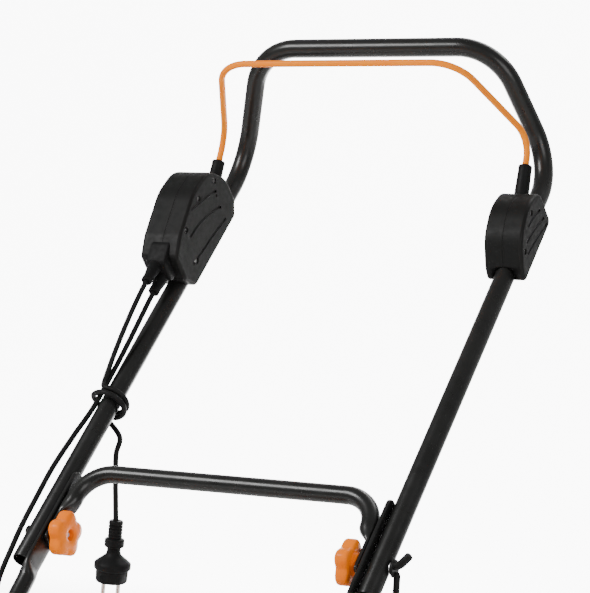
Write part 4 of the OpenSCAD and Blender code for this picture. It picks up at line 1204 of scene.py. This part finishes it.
# ---- wheels
def wheel(name, y, r, xs, side, axle_r, lugs):
    """A moulded wheel with a lugged tread, a dished web and ten ribs."""
    w = xs[1] - xs[0]

    def tread(q, z, a):
        if q < r - 0.003:
            return q
        shift = 0.5 if z > w / 2 else 0.0
        phase = (a * lugs / (2 * math.pi) + shift) % 1.0
        return q - (0.0030 if phase > 0.62 else 0.0) * min(1.0, (q - (r - 0.003)) / 0.001)

    profile = [(axle_r + 0.0001, 0), (0.0152, 0), (0.0160, 0.0008), (0.0160, w * 0.42), (r - 0.021, w * 0.42),
               (r - 0.019, w * 0.38), (r - 0.018, 0.003), (r - 0.0172, 0.0020), (r - 0.0055, 0.0020),
               (r - 0.0035, 0.0028), (r - 0.0008, 0.0050), (r, 0.0068), (r, w * 0.47),
               (r - 0.0028, w * 0.485),
               (r - 0.0028, w * 0.515), (r, w * 0.53), (r, w - 0.0068), (r - 0.0008, w - 0.0050),
               (r - 0.0035, w - 0.0028), (r - 0.0055, w - 0.0020), (r - 0.0172, w - 0.0020),
               (r - 0.018, w - 0.0030),
               (r - 0.019, w * 0.66), (r - 0.021, w * 0.62), (0.0160, w * 0.62), (0.0160, w - 0.0068),
               (0.0152, w - 0.0060), (axle_r + 0.0001, w - 0.0060)]
    place = axis_matrix(Vector((side * xs[0], y, r)), (side, 0, 0), Vector((0, 1, 0)))
    obj = lathe(name + "_tyre", profile, place, lugs * 8, tread, 30)
    ribs = []
    for k in range(10):
        a = 2 * math.pi * k / 10
        u, v = Vector((math.cos(a), math.sin(a), 0)), Vector((-math.sin(a), math.cos(a), 0)) * 0.0016
        ring = []
        for q in (0.0155, r - 0.0185):
            depth = 0.004 if q < 0.02 else 0.006
            ring.append([place @ (u * q + s * v + Vector((0, 0, z)))
                         for s, z in ((-1, depth), (1, depth), (1, w * 0.43), (-1, w * 0.43))])
        ribs.append(loft("rib", ring, 0))
    assembled(name + "_moulding", [obj] + ribs, "wheel_plastic", name, name, angle=30)


def hubcap(name, y, r, xs, side):
    """A domed cap with a ring of shallow dents."""
    w = xs[1] - xs[0]
    h = w * 0.38
    outside = [(0.0170, 0), (0.0210, 0), (0.0210, h - 0.0062), (r - 0.0240, h - 0.0088),
               (r - 0.0232, h - 0.0078),
               (r - 0.0236, h - 0.0066), (r - 0.0262, h - 0.0058), (r - 0.0300, h - 0.0030),
               (r - 0.0340, h - 0.0026),
               (0.0300, h - 0.0004), (0.0270, h + 0.0008), (0.0250, h + 0.0012), (0.0225, h + 0.0004),
               (0.0205, h + 0.0006), (0.0150, h + 0.0026), (0.0070, h + 0.0038), (0, h + 0.0040)]
    place = axis_matrix(Vector((side * (xs[0] + w * 0.62 + 0.0001), y, r)), (side, 0, 0), Vector((0, 1, 0)))
    inside = [(0, h + 0.0010), (0.0170, h - 0.0020)]
    obj = lathe("cap_" + name, outside + inside, place, 96, smooth=30)
    dents = []
    for k in range(10):
        a = 2 * math.pi * (k + 0.5) / 10
        middle = 0.5 * (0.030 + r - 0.034)
        centre = Vector((middle * math.cos(a), middle * math.sin(a), h - 0.0015))
        length = (r - 0.034 - 0.030) * 0.5 - 0.001
        outline = [(length * math.cos(t), 0.0042 * math.sin(t))
                   for t in (2 * math.pi * i / 24 for i in range(24))]
        turn = Matrix.Rotation(a, 3, "Z")
        rings = [[place @ (centre + turn @ Vector((p, q, z))) for p, q in outline] for z in (-0.0002, 0.006)]
        dents.append(loft("dent", rings, 0))
    cut(obj, joined("dents", dents))
    smooth_by_angle(obj, 30)
    finish_piece(obj, "orange_plastic", name, "hubcap_" + name[6:])


# ---- rear flap
def flap():
    """The rear flap: hinge barrel, ribbed plate and a rolled lower edge."""
    half, y, top = 0.086, FLAP_Y, FLAP_Z
    barrel = x_rod("barrel", -half, half - 0.016, y, top, 0.0046)
    plate = block("plate", (-half, y + 0.0002, 0.052), (half, y + 0.0033, top - 0.006))
    bevelled(plate, 0.0012, 3)
    web = block("web", (-half, y + 0.0002, top - 0.008), (half - 0.016, y + 0.0033, top + 0.001))
    parts = [barrel, web, x_rod("roll", -half + 0.001, half - 0.001, y + 0.0018, 0.052, 0.0019, 20)]
    for k in range(9):
        x = -half + 0.012 + 0.0185 * k
        rib = block("rib", (x - 0.0010, y + 0.0030, 0.060), (x + 0.0010, y + 0.0048, top - 0.014))
        parts.append(bevelled(rib, 0.0006, 2))
    for part in parts:
        cut(plate, part, operation="UNION")
    cut(plate, x_rod("pin_hole", -0.1, 0.1, y, top, 0.00256, 24))
    plate.name = "grass_flap"
    smooth_by_angle(plate, 35)
    finish_piece(plate, "black_plastic", "flap", "rear_flap")


# ---- build
plug_piece = plug()
pin_piece = pins()
gland_piece = glands()
core_piece = gland_cores()
mains_cord()
motor_cable()
handle_tube()
for side in (-1, 1):
    lower_tube(side)
    boot(side)
    knob(side)
crossbar_tube()
bail()
switch_box()
pivot_box()
bolts()
hook()
deck()
motor_cover()
hood_lining()
carrying_handle()
for side in (1, -1):
    for end, y, r, xs, axle_r, lugs in (("front", FRONT_AXLE_Y, FRONT_R, (0.162, 0.198), 0.004, 30),
                                        ("rear", REAR_AXLE_Y, REAR_R, (0.166, 0.206), 0.005, 36)):
        wheel(f"wheel_{end}_{hand(side)}", y, r, xs, side, axle_r, lugs)
        hubcap(f"wheel_{end}_{hand(side)}", y, r, xs, side)
flap()


# ---- stage and light
# emission strengths of the paper's painted light: its bright strip behind the mower, and everywhere else
BACKDROP_GLOW = 9.0
SIDE_GLOW = 0.12


def stage_material():
    """Matt white paper with painted light: it glows by emission, brightly in one strip behind the mower and
    faintly elsewhere.
    """
    m = Nodes("studio_white", (0.90, 0.90, 0.90), 0.9, specular=0.1)
    m.rough(m.noise(3, 2), 0.85, 0.95)
    split = m.tree.nodes.new("ShaderNodeSeparateXYZ")
    m.link(m.coordinates, split.inputs["Vector"])
    across = m.tree.nodes.new("ShaderNodeVectorMath")
    across.operation = "DOT_PRODUCT"
    m.link(m.coordinates, across.inputs[0])
    across.inputs[1].default_value = (0.893, 0.451, 0)
    off_centre = m.combine("ABSOLUTE", m.combine("SUBTRACT", across.outputs["Value"], 0.17))
    glow = m.combine("MULTIPLY", m.ramp(split.outputs["Y"], 1.2, 2.0, 0, 1),
                     m.ramp(off_centre, 1.5, 1.2, 0, 1))
    glow = m.combine("MULTIPLY", glow, m.ramp(split.outputs["Z"], 2.2, 1.7, 0, 1))
    # painted light: the paper's own emission, not a lamp, makes the bright strip behind the mower and the
    # faint glow elsewhere
    m.shader.inputs["Emission Color"].default_value = (1, 1, 1, 1)
    m.link(m.ramp(glow, 0, 1, SIDE_GLOW, BACKDROP_GLOW), m.shader.inputs["Emission Strength"])
    return m.material


def stage():
    """A seamless floor and backdrop, swept up behind the mower."""
    width, front, back, height, bend = 14.0, -9.0, 5.0, 9.0, 3.0
    line = [(front, 0.0)]
    line += [(back - bend + bend * math.sin(t), bend * (1 - math.cos(t)))
             for t in (math.pi / 2 * k / 24 for k in range(25))]
    line.append((back, height))
    vertices = [(x, y, z) for y, z in line for x in (-width, width)]
    faces = [(2 * k, 2 * k + 1, 2 * k + 3, 2 * k + 2) for k in range(len(line) - 1)]
    obj = add_mesh("studio_floor", vertices, faces, 60)
    obj.data.materials.append(stage_material())


def area_light(name, place, aim, size, power, colour=(1, 1, 1)):
    data = bpy.data.lights.new(name, "AREA")
    data.shape = "RECTANGLE"
    data.size, data.size_y = size
    data.energy = power
    data.color = colour
    light = bpy.data.objects.new(name, data)
    light.location = place
    light.rotation_euler = (Vector(aim) - Vector(place)).to_track_quat("-Z", "Y").to_euler()
    scene.collection.objects.link(light)


def lights():
    aim = (0, 0.35, 0.75)
    area_light("key", (-1.6, -1.7, 2.7), aim, (1.2, 1.2), 95)
    area_light("fill", (2.4, -1.6, 1.6), aim, (1.6, 1.6), 34)
    area_light("rim", (0.4, 2.2, 2.6), aim, (2.0, 0.8), 30)
    world = bpy.data.worlds.new("studio")
    world.use_nodes = True
    background = world.node_tree.nodes["Background"]
    background.inputs["Color"].default_value = (1, 1, 1, 1)
    background.inputs["Strength"].default_value = 0.35
    scene.world = world


stage()
lights()
